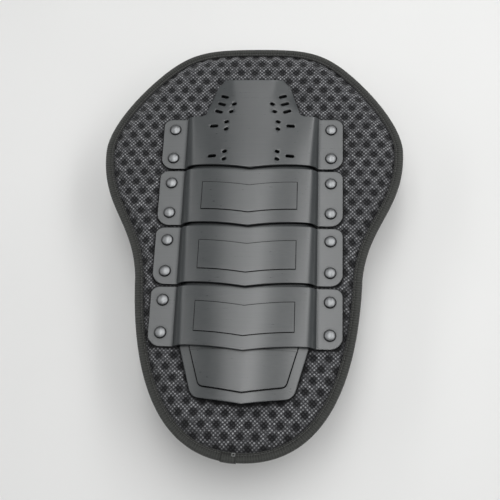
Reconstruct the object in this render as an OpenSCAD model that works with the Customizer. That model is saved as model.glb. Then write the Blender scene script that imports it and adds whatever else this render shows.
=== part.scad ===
// Back protector: five lapped plates, riveted to one bound foam pad that bends between them.
// Length runs along Y towards the neck, width along X, and the back lining lies on Z = 0.

/* [Pad outline] */
// Length of the pad over its binding
pad_l = 446; // [400:1:540]
// Width of the pad at its widest, across the shoulder blades
pad_w = 314; // [255:1:380]
// Distance of the widest place below the neck edge
widest_drop = 126; // [100:1:155]
// Half width of the neck edge where it turns into the shoulder
neck_corner_x = 100; // [80:1:115]
// Distance of that turn below the neck edge
neck_corner_drop = 30; // [22:1:36]
// Width of the pad at the waist
waist_w = 228; // [200:1:250]
// Distance of the waist above the tail edge
waist_rise = 180; // [150:1:215]

/* [Pad layers] */
// Thickness of the pad inside its rounded rim
pad_t = 12.5; // [10.5:0.1:16]
// Thickness of the spacer mesh on the face
face_t = 3; // [2:0.1:4]
// Thickness of the spacer mesh where the binding squeezes it
face_rim_t = 1.8; // [1:0.1:2.5]
// Thickness of the back lining
lining_t = 0.8; // [0.5:0.1:1.2]
// Thickness of the foam inside the binding
foam_rim_t = 1.6; // [1:0.1:2.5]
// Distance over which the pad rises from the binding to its full thickness
rim_round = 13; // [8:0.5:18]
// Clearance between layers that lie on each other
seat_gap = 0.1; // [0.05:0.05:0.2]
// Gap between pad sections along each bending line
bend_gap = 0.9; // [0.9:0.1:2]

/* [Binding tape] */
// Width of the tape on each side of the pad
tape_w = 9; // [7:0.5:13]
// Thickness of the tape
tape_t = 1.2; // [0.8:0.1:1.6]
// Height of the tape above the surface the pad lies on
tape_lift = 0.4; // [0.2:0.1:1]

/* [Plates] */
// Distance from one plate to the next
plate_pitch = 63; // [54:0.5:76]
// Place of the middle plate along the pad
stack_y = -23; // [-35:1:-10]
// Wall of every plate
wall = 2.5; // [2:0.1:3]
// Width of the raised crown from fold to fold
crown_w = 138; // [120:1:160]
// Height of the crown above the ears at its lower edge
crown_h = 19; // [16:0.5:23]
// Radius of the arch across the crown
arch_r = 190; // [170:1:260]
// Radius of the crown's shoulders
shoulder_r = 9; // [7:0.5:11]
// Lean of the crown's side walls in degrees
draft = 12; // [6:1:18]
// Drop of the lower edge's point
point_drop = 6.5; // [3:0.5:9]
// Gap between the ears of neighbouring plates
ear_gap = 3; // [2:0.5:5]
// Width of an ear outside the fold
ear_w = 25; // [22:0.5:30]
// Corner radius at the neck end of an ear
ear_top_r = 8; // [4:0.5:10]
// Corner radius at the tail end of an ear
ear_low_r = 12; // [6:0.5:12]
// Length of a plate's tongue under the plate before it
lap_l = 9; // [6:0.5:12]
// Clearance over a tongue
lap_clear = 1.5; // [1.2:0.1:2]
// Clearance beside a tongue
lap_side = 2; // [1.5:0.1:3]
// Further narrowing of a tongue towards its tip
tongue_taper = 4; // [2:0.5:6]
// Width of the raised panel on a plate
panel_w = 97; // [80:1:104]
// Length of the raised panel
panel_l = 31; // [24:1:36]
// Place of the panel's middle below the plate's middle
panel_low = 1.2; // [0:0.1:3]
// Height of the raised panel
panel_h = 0.7; // [0.4:0.1:1]

/* [Neck plate] */
// Length of the neck plate's ears
neck_ear_l = 57; // [50:0.5:62]
// Reach of the neck plate from its lower edge to its tip
neck_reach = 103; // [92:1:115]
// Height of the neck plate's crown above the ear level at its tip
neck_tip_h = 4.5; // [4:0.5:8]
// Width of the neck where it leaves the crown
neck_base_w = 96; // [86:1:104]
// Width of the neck below its bevelled tip
neck_w = 77; // [72:1:84]
// Width of the tip
neck_tip_w = 62; // [54:1:68]
// Length of the bevel at the tip
neck_bevel = 9; // [5:1:12]
// Fillet between neck and crown
neck_fillet = 6; // [3:1:9]
// Length of a vent slot
slot_l = 8; // [6:0.5:10]
// Width of a vent slot
slot_w = 3; // [2:0.1:4]
// Length of a small vent hole
hole_l = 4.4; // [4:0.1:5.5]
// Distance between slots along the neck
slot_pitch = 9.7; // [8:0.1:11]
// Tilt of the slots on the neck in degrees
slot_tilt = 22; // [0:1:35]

/* [Tail plate] */
// Width of the tail plate at the last bending line
tail_w = 124; // [112:1:128]
// Narrowing of each side per millimetre of length
tail_taper = 0.29; // [0.15:0.01:0.35]
// Length of the tail plate at its sides, below the last bending line
tail_l = 47; // [40:1:56]
// Width of the rim round the raised panel
tail_rim = 9.5; // [8.5:0.5:12]
// Radius of the arch across the tail plate
tail_arch_r = 170; // [160:1:220]
// Height of the side edges above the ear level
tail_seat = 1.1; // [1:0.1:2]
// Height of the raised panel above the rim
tail_panel_h = 1.3; // [0.8:0.1:1.6]
// Corner radius at the lower end
tail_corner_r = 12; // [6:1:16]

/* [Rivets] */
// Diameter of a rivet head
head_d = 12; // [9:0.5:14]
// Height of a rivet head
head_h = 3; // [2:0.1:4]
// Diameter of a rivet post
post_d = 4; // [3:0.1:5]
// Clearance round a post in its holes, on the diameter
post_clear = 0.4; // [0.2:0.1:0.8]
// Distance between the two rivets of an ear
rivet_pitch = 33; // [26:0.5:38]
// Distance of the rivets outside the fold
rivet_out = 13; // [11:0.5:14]
// Diameter of a back washer
washer_d = 12; // [10:0.5:14]
// Thickness of a back washer
washer_t = 1; // [0.6:0.1:1.4]
// Diameter of the rolled end of a post
roll_d = 6.4; // [5.5:0.1:8]
// Thickness of the rolled end
roll_t = 0.7; // [0.5:0.1:1]
// Depth of the rolled end inside the back face
roll_sunk = 0.2; // [0.1:0.1:0.5]

/* [Hidden] */
$fn = 64;

plate_grey = "#5c5f60";
rivet_grey = "#3a3d3f";
washer_grey = "#8a8d8f";
face_grey = "#85878a";
foam_grey = "#2c2d2e";
lining_grey = "#3b3d3f";
tape_grey = "#4a4b45";

// Sections from the neck to the tail, and the bending lines between them
NECK = 0;
UPPER = 1;
MIDDLE = 2;
LOWER = 3;
TAIL = 4;
bend_y = [for (i = [0 : 3]) stack_y + (1.5 - i) * plate_pitch];
far = pad_l;
section_high = [for (s = [NECK : TAIL]) s == NECK ? far : bend_y[s - 1] - bend_gap / 2];
section_low = [for (s = [NECK : TAIL]) s == TAIL ? -far : bend_y[s] + bend_gap / 2];
plate_y = [for (s = [UPPER : LOWER]) stack_y + (MIDDLE - s) * plate_pitch];

// Reach of a cut beyond what it cuts
over = 1;

// Depths inside the rim: the tape's fold, the layers' edge, and the start of the rise
fold_depth = 3;
rim_edge = fold_depth + seat_gap;
tape_clear = 0.5;
rim_inner = tape_w + tape_clear;

// Heights through the squeezed rim and through the full pad
lining_rim_z = tape_lift + tape_t + seat_gap;
foam_rim_z = lining_rim_z + lining_t + seat_gap;
face_rim_z = foam_rim_z + foam_rim_t + seat_gap;
face_rim_top = face_rim_z + face_rim_t;
tape_top = face_rim_top + seat_gap + tape_t;
foam_low = lining_t + seat_gap;
face_low = pad_t - face_t;
plate_z = pad_t + seat_gap;
ear_z = plate_z + wall;

// Plate sizes that follow from the lap
ear_l = plate_pitch - ear_gap;
lap_st = plate_pitch - ear_l / 2;
tip_st = lap_st + lap_l;
lap_fall = wall + lap_clear;
rivet_x = crown_w / 2 + rivet_out;

// Fall of the tongue to its tip, and the short step that narrows the crown into its tongue
tongue_fall = 1.5;
lap_lead = 2;
side_step_l = 2;
step_end = lap_st - lap_lead;

// Shape of a crown's shoulders and of its pointed lower edge
shoulder_share = 0.48;
shoulder_spare = 0.5;
point_reach = 0.45 * crown_w;
point_power = 1.4;

// Steps along a crown's arch, its shoulder, a raised panel and a round corner
arch_steps = 7;
shoulder_steps = 4;
panel_steps = 8;
corner_steps = 6;

// Smooth step from 0 to 1
function smooth(u) = let (c = min(max(u, 0), 1)) c * c * (3 - 2 * c);
function clamp01(u) = min(max(u, 0), 1);
function mix(a, b, u) = a + (b - a) * u;

// Cubic curve through its first and last point, and its direction
function curve(p, t) =
    pow(1 - t, 3) * p[0] + 3 * t * pow(1 - t, 2) * p[1] + 3 * t * t * (1 - t) * p[2] + t * t * t * p[3];
function curve_dir(p, t) =
    let (d = pow(1 - t, 2) * (p[1] - p[0]) + 2 * t * (1 - t) * (p[2] - p[1]) + t * t * (p[3] - p[2]))
    d / norm(d);

// Lengths between the places that shape the rim, and the pull of its curves as shares of them
neck_edge = pad_l / 2;
shoulder_l = widest_drop - neck_corner_drop;
flank_l = pad_l - widest_drop - waist_rise;
neck_pull = 0.5;
corner_pull = 0.4;
shoulder_pull = 0.365;
blade_pull = 0.3125;
flank_pull = 0.457;
hip_pull = 0.43;
seat_pull = 0.72;
tail_pull = 0.56;
waist_lean = 6;

// Right half of the rim in four curves, clockwise from the middle of the neck edge
corner = [neck_corner_x, neck_edge - neck_corner_drop];
corner_turn = -43.5;
corner_run = [cos(corner_turn), sin(corner_turn)];
widest = [pad_w / 2, neck_edge - widest_drop];
waist = [waist_w / 2, waist_rise - neck_edge];
rim_spans = [
    [
        [0, neck_edge], [neck_pull * neck_corner_x, neck_edge],
        corner - corner_pull * neck_corner_x * corner_run, corner
    ],
    [
        corner, corner + shoulder_pull * shoulder_l * corner_run,
        widest + [0, blade_pull * shoulder_l], widest
    ],
    [
        widest, widest - [0, flank_pull * flank_l],
        waist + [waist_lean, hip_pull * flank_l], waist
    ],
    [
        waist, waist - [waist_lean, seat_pull * waist_rise],
        [tail_pull * waist[0], -neck_edge], [0, -neck_edge]
    ]
];
rim_end = len(rim_spans);
function rim_span(t) = min(floor(t), rim_end - 1);
function half_rim(t) = curve(rim_spans[rim_span(t)], t - rim_span(t));
function half_rim_dir(t) = curve_dir(rim_spans[rim_span(t)], t - rim_span(t));

// Whole rim, clockwise: the left half mirrors the right one
function lap_round(t) = t >= 2 * rim_end ? t - 2 * rim_end : t;
function rim(t) =
    let (u = lap_round(t), p = half_rim(u <= rim_end ? u : 2 * rim_end - u))
    u <= rim_end ? p : [-p[0], p[1]];
function rim_dir(t) =
    let (u = lap_round(t), d = half_rim_dir(u <= rim_end ? u : 2 * rim_end - u))
    u <= rim_end ? d : [d[0], -d[1]];

// Place on the right half of the rim at a given height, by halving
function rim_at(y, a = 0, b = rim_end, n = 24) =
    let (m = (a + b) / 2)
    n == 0 ? m : half_rim(m)[1] > y ? rim_at(y, m, b, n - 1) : rim_at(y, a, m, n - 1);

// Point at a depth inside the rim: square to the rim, but along X at a bending line
bend_fade = 40;
function inset(t, depth, s) =
    let (
        p = rim(t),
        d = rim_dir(t),
        square_in = [d[1], -d[0]],
        across = [p[0] > 0 ? -1 : 1, 0],
        near_low = 1 - (p[1] - section_low[s]) / bend_fade,
        near_high = 1 - (section_high[s] - p[1]) / bend_fade,
        way = mix(square_in, across, clamp01(max(near_low, near_high)))
    )
    p + way * depth / (way * square_in);

// Runs of rim places round one section, clockwise
end_steps = 24;
side_steps = 6;
function run(a, b, n) = [for (i = [0 : n]) mix(a, b, i / n)];
function section_runs(s) =
    let (
        high = s == NECK ? 0 : rim_at(section_high[s]),
        low = s == TAIL ? rim_end : rim_at(section_low[s])
    )
    s == NECK ? [run(2 * rim_end - low, 2 * rim_end + low, end_steps)]
    : s == TAIL ? [run(high, 2 * rim_end - high, end_steps)]
    : [run(high, low, side_steps), run(2 * rim_end - low, 2 * rim_end - high, side_steps)];

// Faces of a strip of four points, as two triangles, or one where two points meet
function quad(a, b, c, d) =
    b == c ? [[a, b, d]] : a == d ? [[a, b, c]] : [[a, b, c], [a, c, d]];
function flatten(l) = [for (part = l) each part];

// One layer of one pad section, between two lists of [depth, height] from the rim inwards, of one length
module pad_layer(s, top, bottom) {
    runs = section_runs(s);
    places = flatten(runs);
    starts = [for (k = 0, i = 0; k < len(runs); i = i + len(runs[k]), k = k + 1) i];
    levels = concat(top, bottom);
    nt = len(top);
    nl = len(levels);
    points = [
        for (t = places)
            for (level = levels)
                let (p = inset(t, level[0], s)) [p[0], p[1], level[1]]
    ];
    order = concat([for (i = [nt - 1 : -1 : 0]) i], [for (i = [nt : nl - 1]) i]);
    skins = [
        for (k = [0 : len(runs) - 1])
            for (j = [starts[k] : starts[k] + len(runs[k]) - 2])
                for (i = [0 : nl - 2])
                    let (a = order[i], b = order[i + 1])
                        each quad(j * nl + a, j * nl + b, (j + 1) * nl + b, (j + 1) * nl + a)
    ];
    inner = nt - 1;
    cuts = [
        for (k = [0 : len(runs) - 1])
            let (end = (starts[k] + len(runs[k]) - 1) * nl, next = starts[(k + 1) % len(runs)] * nl)
                each concat(
                    flatten([
                        for (i = [0 : inner - 1])
                            concat(
                                quad(end + nt + i, end + nt + i + 1, end + i + 1, end + i),
                                quad(next + nt + i + 1, next + nt + i, next + i, next + i + 1)
                            )
                    ]),
                    quad(end + nt + inner, next + nt + inner, next + inner, end + inner)
                )
    ];
    last = len(places) - 1;
    caps = [
        for (j = [0 : floor(last / 2) - 1])
            let (a = j * nl, b = (j + 1) * nl, c = (last - j - 1) * nl, d = (last - j) * nl, deep = nl - 1)
                each concat(
                    quad(a + inner, b + inner, c + inner, d + inner),
                    quad(d + deep, c + deep, b + deep, a + deep)
                )
    ];
    polyhedron(points, concat(skins, cuts, caps), convexity = 6);
}

// Solid between an outer and an inner line at each station, closed at both ends
module shell(outer, inner) {
    m = len(outer);
    n = len(outer[0]);
    points = [for (j = [0 : m - 1]) each concat(outer[j], inner[j])];
    function o(j, i) = j * 2 * n + i;
    function q(j, i) = j * 2 * n + n + i;
    skins = [
        for (j = [0 : m - 2])
            for (i = [0 : n - 2])
                each concat(
                    quad(o(j, i), o(j + 1, i), o(j + 1, i + 1), o(j, i + 1)),
                    quad(q(j, i), q(j, i + 1), q(j + 1, i + 1), q(j + 1, i))
                )
    ];
    edges = [
        for (j = [0 : m - 2])
            each concat(
                quad(o(j + 1, 0), o(j, 0), q(j, 0), q(j + 1, 0)),
                quad(o(j, n - 1), o(j + 1, n - 1), q(j + 1, n - 1), q(j, n - 1))
            )
    ];
    ends = [
        for (i = [0 : n - 2])
            each concat(
                quad(o(0, i), o(0, i + 1), q(0, i + 1), q(0, i)),
                quad(o(m - 1, i + 1), o(m - 1, i), q(m - 1, i), q(m - 1, i + 1))
            )
    ];
    polyhedron(points, concat(skins, edges, ends), convexity = 6);
}

// Radius of the arch over a crown of some half width and height, of the same fullness everywhere
function arch_at(w, h) = arch_r * pow(2 * w / crown_w, 2) * crown_h / h;

// Right half of a crown's section, inset by some depth, from the middle out to the fold
function half_crown(w, h, depth, skirt) =
    let (
        big = arch_at(w, h),
        small = max(wall + shoulder_spare, min(shoulder_r, shoulder_share * h)),
        a = w - small / cos(draft),
        b = tan(draft),
        e = h - big,
        lean = a * b + e,
        root = lean * lean - (b * b + 1) * (a * a + e * e - pow(big - small, 2)),
        cz = (lean + sqrt(root)) / (b * b + 1),
        cx = a - b * cz,
        turn = atan2(cz - e, cx),
        foot = w - depth / cos(draft)
    )
    concat(
        [for (i = [0 : arch_steps - 1])
            let (g = mix(90, turn, i / arch_steps)) [(big - depth) * cos(g), e + (big - depth) * sin(g)]],
        [for (i = [0 : shoulder_steps])
            let (g = mix(turn, draft, i / shoulder_steps))
                [cx + (small - depth) * cos(g), cz + (small - depth) * sin(g)]],
        [[foot, 0], [foot, -skirt]]
    );

// Whole section from left to right
function mirrored(half) =
    let (n = len(half))
    concat([for (i = [n - 1 : -1 : 1]) [-half[i][0], half[i][1]]], half);

// Drop of a plate's lower edge towards the middle
function point_at(x) = point_drop * pow(max(0, 1 - abs(x) / point_reach), point_power);

// Section laid at a station along the plate, with the pointed edge's drop
function lay(section, st, pointed, y, z) =
    [for (p = section) [p[0], y + st - pointed * point_at(p[0]), z + p[1]]];

// Crown of a lapped plate: height and half width along it, from the lower edge to the tongue
function crown_rise(st) =
    crown_h
    - lap_fall * (st + ear_l / 2) / (lap_st + ear_l / 2)
    - tongue_fall * clamp01((st - lap_st) / lap_l);
function crown_half_w(st) =
    crown_w / 2
    - (wall + lap_side) * smooth((st - step_end + side_step_l) / side_step_l)
    - tongue_taper * clamp01((st - lap_st) / lap_l);
function crown_skirt(st) = st < ear_l / 2 ? wall : 0;
function crown_line(st, depth, y) =
    lay(mirrored(half_crown(crown_half_w(st), crown_rise(st), depth, crown_skirt(st))), st, 1, y, ear_z);

// Line over the arch alone, for the raised panel
function panel_line(st, out, y) =
    let (h = crown_rise(st), big = arch_at(crown_half_w(st), h), reach = asin(panel_w / 2 / big))
    lay(
        [for (i = [-panel_steps : panel_steps])
            let (g = 90 - reach * i / panel_steps) [(big + out) * cos(g), h - big + (big + out) * sin(g)]],
        st, 1, y, ear_z
    );

// Flat ear on the right, with its rivet holes
module ear(y_low, length) {
    inner_x = crown_w / 2 - wall / 2;
    outer_x = crown_w / 2 + ear_w;
    difference() {
        translate([0, 0, plate_z])
            linear_extrude(wall)
                union() {
                    translate([inner_x, y_low])
                        square([outer_x - ear_low_r - inner_x, length]);
                    translate([inner_x, y_low + ear_low_r])
                        square([outer_x - inner_x, length - ear_low_r - ear_top_r]);
                    translate([outer_x - ear_low_r, y_low + ear_low_r])
                        circle(ear_low_r);
                    translate([outer_x - ear_top_r, y_low + length - ear_top_r])
                        circle(ear_top_r);
                    translate([outer_x - ear_low_r - ear_top_r, y_low + length / 2])
                        square([ear_low_r, length / 2]);
                }
        for (side = [-1, 1])
            translate([rivet_x, y_low + length / 2 + side * rivet_pitch / 2, plate_z - over])
                cylinder(d = post_d + post_clear, h = wall + 2 * over);
    }
}

module ears(y_low, length) {
    ear(y_low, length);
    mirror([1, 0, 0])
        ear(y_low, length);
}

// One of the three alike plates in the middle of the stack
module lapped_plate(s) {
    y = plate_y[s - UPPER];
    low = -ear_l / 2;
    ear_end = ear_l / 2;
    stations = concat(
        [for (u = [0 : 0.25 : 0.75]) mix(low, ear_end - over, u)],
        [ear_end - over, ear_end, step_end, lap_st, tip_st]
    );
    panel_stations = [for (u = [0 : 0.25 : 1]) -panel_low - panel_l / 2 + u * panel_l];
    color(plate_grey) {
        shell([for (st = stations) crown_line(st, 0, y)], [for (st = stations) crown_line(st, wall, y)]);
        shell(
            [for (st = panel_stations) panel_line(st, panel_h, y)],
            [for (st = panel_stations) panel_line(st, -wall / 2, y)]
        );
        ears(y + low, ear_l);
    }
}

// Neck plate: its crown runs out flat into a neck with vents
neck_low = bend_y[0] + ear_gap / 2;
neck_ear_y = neck_low + neck_ear_l / 2;
crown_end = neck_ear_l + over;
bevel_st = neck_reach - neck_bevel;
neck_fall_power = 1.1;
function neck_rise(st) = mix(crown_h, neck_tip_h, pow(st / neck_reach, neck_fall_power));
function neck_point(st) = 1 - st / neck_reach;
function neck_line(st, depth) =
    lay(
        mirrored(half_crown(crown_w / 2, neck_rise(st), depth, wall)),
        st, neck_point(st), neck_low, ear_z
    );

// Half width of the neck beyond the crown: a fillet, a narrowing side and a bevelled tip
function neck_half_w(st) =
    let (out = max(st - crown_end, 0), side_l = bevel_st - crown_end - neck_fillet)
    out < neck_fillet
        ? neck_base_w / 2 + neck_fillet - sqrt(out * (2 * neck_fillet - out))
    : st < bevel_st
        ? mix(neck_base_w, neck_w, (out - neck_fillet) / side_l) / 2
    : mix(neck_w, neck_tip_w, (st - bevel_st) / neck_bevel) / 2;

// Line across the neck at a depth under the crown's arch. The neck starts inside the crown's wall
neck_step = 0.3;
neck_root = 8;
thicken_l = 4;
function neck_depth(st) = mix(wall - neck_step, wall + neck_step, clamp01((st - crown_end) / thicken_l));
function strip_line(st, depth) =
    let (h = neck_rise(st), big = arch_at(crown_w / 2, h), w = neck_half_w(st))
    lay(
        [for (i = [-panel_steps : panel_steps])
            let (x = w * i / panel_steps) [x, h - big + sqrt(pow(big - depth, 2) - x * x)]],
        st, neck_point(st), neck_low, ear_z
    );

module slot_outline(length) {
    square([length - slot_w, slot_w], center = true);
    for (side = [-1, 1])
        translate([side * (length - slot_w) / 2, 0])
            circle(d = slot_w);
}

// Vents on the right half: three tilted slots on the neck, and a slot with two holes on the crown twice
neck_slot = [0.4 * neck_w, neck_low + neck_reach - 21.3];
slot_drift = [2.6, -slot_pitch];
hole_offset = [-13.2, -0.6];
crown_slot_x = 0.58 * crown_w / 2;
crown_hole_x = crown_slot_x - 13;
crown_hole_spread = 4.5;
crown_vents = [neck_low + 8, neck_low + neck_ear_l - 12.6];
module vents() {
    for (i = [0 : 2])
        translate(neck_slot + i * slot_drift)
            rotate(slot_tilt)
                slot_outline(slot_l);
    for (i = [1, 2])
        translate(neck_slot + i * slot_drift + hole_offset)
            slot_outline(hole_l);
    for (y = crown_vents) {
        translate([crown_slot_x, y])
            slot_outline(slot_l);
        for (side = [-1, 1])
            translate([crown_hole_x, y + side * crown_hole_spread])
                slot_outline(hole_l);
    }
}

module neck_plate() {
    stations = concat([for (u = [0 : 0.25 : 0.75]) u * neck_ear_l], [neck_ear_l, crown_end]);
    strip_stations = concat(
        [crown_end - neck_root],
        [for (g = [0 : 30 : 90]) crown_end + neck_fillet * (1 - cos(g))],
        [for (u = [0.25 : 0.25 : 1]) mix(crown_end + neck_fillet, bevel_st, u)],
        [neck_reach]
    );
    color(plate_grey) {
        difference() {
            union() {
                shell([for (st = stations) neck_line(st, 0)], [for (st = stations) neck_line(st, wall)]);
                shell(
                    [for (st = strip_stations) strip_line(st, neck_step)],
                    [for (st = strip_stations) strip_line(st, neck_depth(st))]
                );
            }
            for (side = [0, 1])
                mirror([side, 0, 0])
                    translate([0, 0, plate_z])
                        linear_extrude(ear_z + crown_h)
                            vents();
        }
        ears(neck_low, neck_ear_l);
    }
}

module upper_plate() {
    lapped_plate(UPPER);
}

module middle_plate() {
    lapped_plate(MIDDLE);
}

module lower_plate() {
    lapped_plate(LOWER);
}

// Tail plate: a shallow arch with a raised panel inside its rim, held by studs from behind
tail_high = bend_y[3] + lap_l;
tail_side_low = bend_y[3] - tail_l;
tail_steps = 5;
function tail_half_w(y) = tail_w / 2 - tail_taper * max(0, bend_y[3] - y);
function tail_sag(x) = tail_arch_r - sqrt(tail_arch_r * tail_arch_r - x * x);
function tail_line(y, lift, depth) =
    let (
        r = tail_arch_r + lift - depth,
        e = tail_seat + tail_sag(tail_half_w(y)) - tail_arch_r,
        reach = asin((tail_half_w(y) + 2 * over) / tail_arch_r)
    )
    lay(
        [for (i = [-panel_steps : panel_steps])
            let (g = 90 - reach * i / panel_steps) [r * cos(g), e + r * sin(g)]],
        0, clamp01((bend_y[3] - y) / tail_l), y, ear_z
    );
tail_studs = [for (share = [0.15, 0.6]) bend_y[3] - share * tail_l];

// Plan of the tail plate between its sides, drawn in by a margin, with round lower corners
module tail_outline(margin) {
    low = tail_side_low + margin;
    half_low = tail_half_w(low) - margin;
    r = max(wall, tail_corner_r - margin / 2);
    side_lean = atan(tail_taper);
    base_lean = atan(point_drop / half_low);
    turn = 90 - side_lean - base_lean;
    run = r * tan(turn / 2);
    side = [sin(side_lean), cos(side_lean)];
    lower_corner = [half_low, low];
    centre = lower_corner + run * side + r * [-side[1], side[0]];
    arc = [
        for (i = [0 : corner_steps])
            let (g = mix(-side_lean, base_lean - 90, i / corner_steps)) centre + r * [cos(g), sin(g)]
    ];
    top = tail_half_w(tail_high) - margin;
    half = concat([[top, tail_high], [tail_half_w(bend_y[3]) - margin, bend_y[3]]], arc);
    point = [0, low - point_drop];
    polygon(concat(half, [point], [for (i = [len(half) - 1 : -1 : 0]) [-half[i][0], half[i][1]]]));
}

// Post of a fastener with its rolled end, from the back up to some height
module shank(top) {
    translate([0, 0, roll_sunk])
        cylinder(d = roll_d, h = roll_t);
    translate([0, 0, roll_sunk])
        cylinder(d = post_d, h = top - roll_sunk);
}

module at_tail_studs() {
    for (y = tail_studs)
        for (side = [-1, 1])
            translate([side * (tail_half_w(y) - tail_rim / 2), y, 0])
                children();
}

// Arched sheet of the tail plate, lifted by some height and cut to the plan drawn in by a margin
module tail_sheet(lift, margin) {
    low = tail_side_low - 2 * point_drop;
    stations = concat([for (i = [0 : tail_steps]) mix(low, bend_y[3], i / tail_steps)], [tail_high]);
    intersection() {
        shell([for (y = stations) tail_line(y, lift, 0)], [for (y = stations) tail_line(y, lift, wall)]);
        translate([0, 0, plate_z - over])
            linear_extrude(crown_h + wall)
                tail_outline(margin);
    }
}

stud_grip = 0.5;
module tail_plate() {
    color(plate_grey) {
        tail_sheet(0, 0);
        tail_sheet(tail_panel_h, tail_rim);
        at_tail_studs()
            shank(ear_z + tail_seat + stud_grip);
    }
}

// Places of the rivets of one section, and of the holes that its fasteners need
rivet_y = [neck_ear_y, plate_y[0], plate_y[1], plate_y[2]];
module at_rivets(s) {
    for (x = [-rivet_x, rivet_x])
        for (side = [-1, 1])
            translate([x, rivet_y[s] + side * rivet_pitch / 2, 0])
                children();
}

module at_fasteners(s) {
    if (s == TAIL)
        at_tail_studs()
            children();
    else
        at_rivets(s)
            children();
}

module rivets(s) {
    dome_r = (head_d * head_d / 4 + head_h * head_h) / (2 * head_h);
    color(rivet_grey)
        at_rivets(s) {
            intersection() {
                translate([0, 0, ear_z + head_h - dome_r])
                    sphere(dome_r);
                translate([0, 0, ear_z])
                    cylinder(d = head_d + over, h = head_h + over);
            }
            shank(ear_z + head_h / 2);
        }
}

module neck_rivets() {
    rivets(NECK);
}

module upper_rivets() {
    rivets(UPPER);
}

module middle_rivets() {
    rivets(MIDDLE);
}

module lower_rivets() {
    rivets(LOWER);
}

// Washers behind the pad, under the rolled ends
washer_z = roll_sunk + roll_t;
washer_top = washer_z + washer_t;
module washers(s) {
    color(washer_grey)
        at_fasteners(s)
            translate([0, 0, washer_z])
                difference() {
                    cylinder(d = washer_d, h = washer_t);
                    translate([0, 0, -over])
                        cylinder(d = post_d + post_clear / 2, h = washer_t + 2 * over);
                }
}

module neck_washers() {
    washers(NECK);
}

module upper_washers() {
    washers(UPPER);
}

module middle_washers() {
    washers(MIDDLE);
}

module lower_washers() {
    washers(LOWER);
}

module tail_washers() {
    washers(TAIL);
}

// Holes for the posts, and pockets that take the washers in from the back
module post_holes(s) {
    at_fasteners(s)
        translate([0, 0, -over])
            cylinder(d = post_d + post_clear, h = ear_z);
}

module washer_pockets(s) {
    at_fasteners(s)
        translate([0, 0, -over])
            cylinder(d = washer_d + post_clear, h = washer_top + seat_gap + over);
}

// Line from the squeezed rim up to the full thickness, as [depth, height]
rise_steps = 4;
function risen(rim_z, full_z) = concat(
    [[rim_edge, rim_z]],
    [for (i = [0 : rise_steps])
        let (u = i / rise_steps) [rim_inner + u * rim_round, rim_z + (full_z - rim_z) * sin(90 * u)]]
);
function flattened(rim_z, full_z, steps) = concat(
    [[rim_edge, rim_z]],
    [for (i = [0 : steps])
        let (u = i / steps) [rim_inner + u * rim_round, mix(rim_z, full_z, clamp01(2 * u))]]
);

module face(s) {
    color(face_grey)
        difference() {
            pad_layer(s, risen(face_rim_top, pad_t), risen(face_rim_z, face_low));
            post_holes(s);
        }
}

module neck_face() {
    face(NECK);
}

module upper_face() {
    face(UPPER);
}

module middle_face() {
    face(MIDDLE);
}

module lower_face() {
    face(LOWER);
}

module tail_face() {
    face(TAIL);
}

module foam(s) {
    color(foam_grey)
        difference() {
            pad_layer(
                s,
                risen(face_rim_z - seat_gap, face_low - seat_gap),
                flattened(foam_rim_z, foam_low, rise_steps)
            );
            post_holes(s);
            washer_pockets(s);
        }
}

module neck_foam() {
    foam(NECK);
}

module upper_foam() {
    foam(UPPER);
}

module middle_foam() {
    foam(MIDDLE);
}

module lower_foam() {
    foam(LOWER);
}

module tail_foam() {
    foam(TAIL);
}

module lining(s) {
    color(lining_grey)
        difference() {
            pad_layer(s, flattened(lining_rim_z + lining_t, lining_t, 2), flattened(lining_rim_z, 0, 2));
            washer_pockets(s);
        }
}

module neck_lining() {
    lining(NECK);
}

module upper_lining() {
    lining(UPPER);
}

module middle_lining() {
    lining(MIDDLE);
}

module lower_lining() {
    lining(LOWER);
}

module tail_lining() {
    lining(TAIL);
}

// Section of the folded tape as [depth, height], from its lower edge round to its upper edge
fold_steps = 4;
function tape_section(inset_by) =
    let (half_h = (tape_top - tape_lift) / 2, mid_z = (tape_top + tape_lift) / 2)
    concat(
        [[tape_w, tape_lift + inset_by]],
        [for (i = [0 : fold_steps])
            let (g = mix(-90, 90, i / fold_steps))
                [fold_depth - (fold_depth - inset_by) * cos(g), mid_z + (half_h - inset_by) * sin(g)]],
        [[tape_w, tape_top - inset_by]]
    );
function tape_line(t, inset_by, s) =
    [for (q = tape_section(inset_by)) let (p = inset(t, q[0], s)) [p[0], p[1], q[1]]];

module binding(s) {
    color(tape_grey)
        for (run = section_runs(s))
            shell([for (t = run) tape_line(t, 0, s)], [for (t = run) tape_line(t, tape_t, s)]);
}

module neck_binding() {
    binding(NECK);
}

module upper_binding() {
    binding(UPPER);
}

module middle_binding() {
    binding(MIDDLE);
}

module lower_binding() {
    binding(LOWER);
}

module tail_binding() {
    binding(TAIL);
}

neck_plate();
upper_plate();
middle_plate();
lower_plate();
tail_plate();
neck_rivets();
upper_rivets();
middle_rivets();
lower_rivets();
neck_washers();
upper_washers();
middle_washers();
lower_washers();
tail_washers();
neck_face();
upper_face();
middle_face();
lower_face();
tail_face();
neck_foam();
upper_foam();
middle_foam();
lower_foam();
tail_foam();
neck_lining();
upper_lining();
middle_lining();
lower_lining();
tail_lining();
neck_binding();
upper_binding();
middle_binding();
lower_binding();
tail_binding();
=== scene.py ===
import math

import bpy
import numpy as np
from mathutils import Matrix, Vector, kdtree


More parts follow.
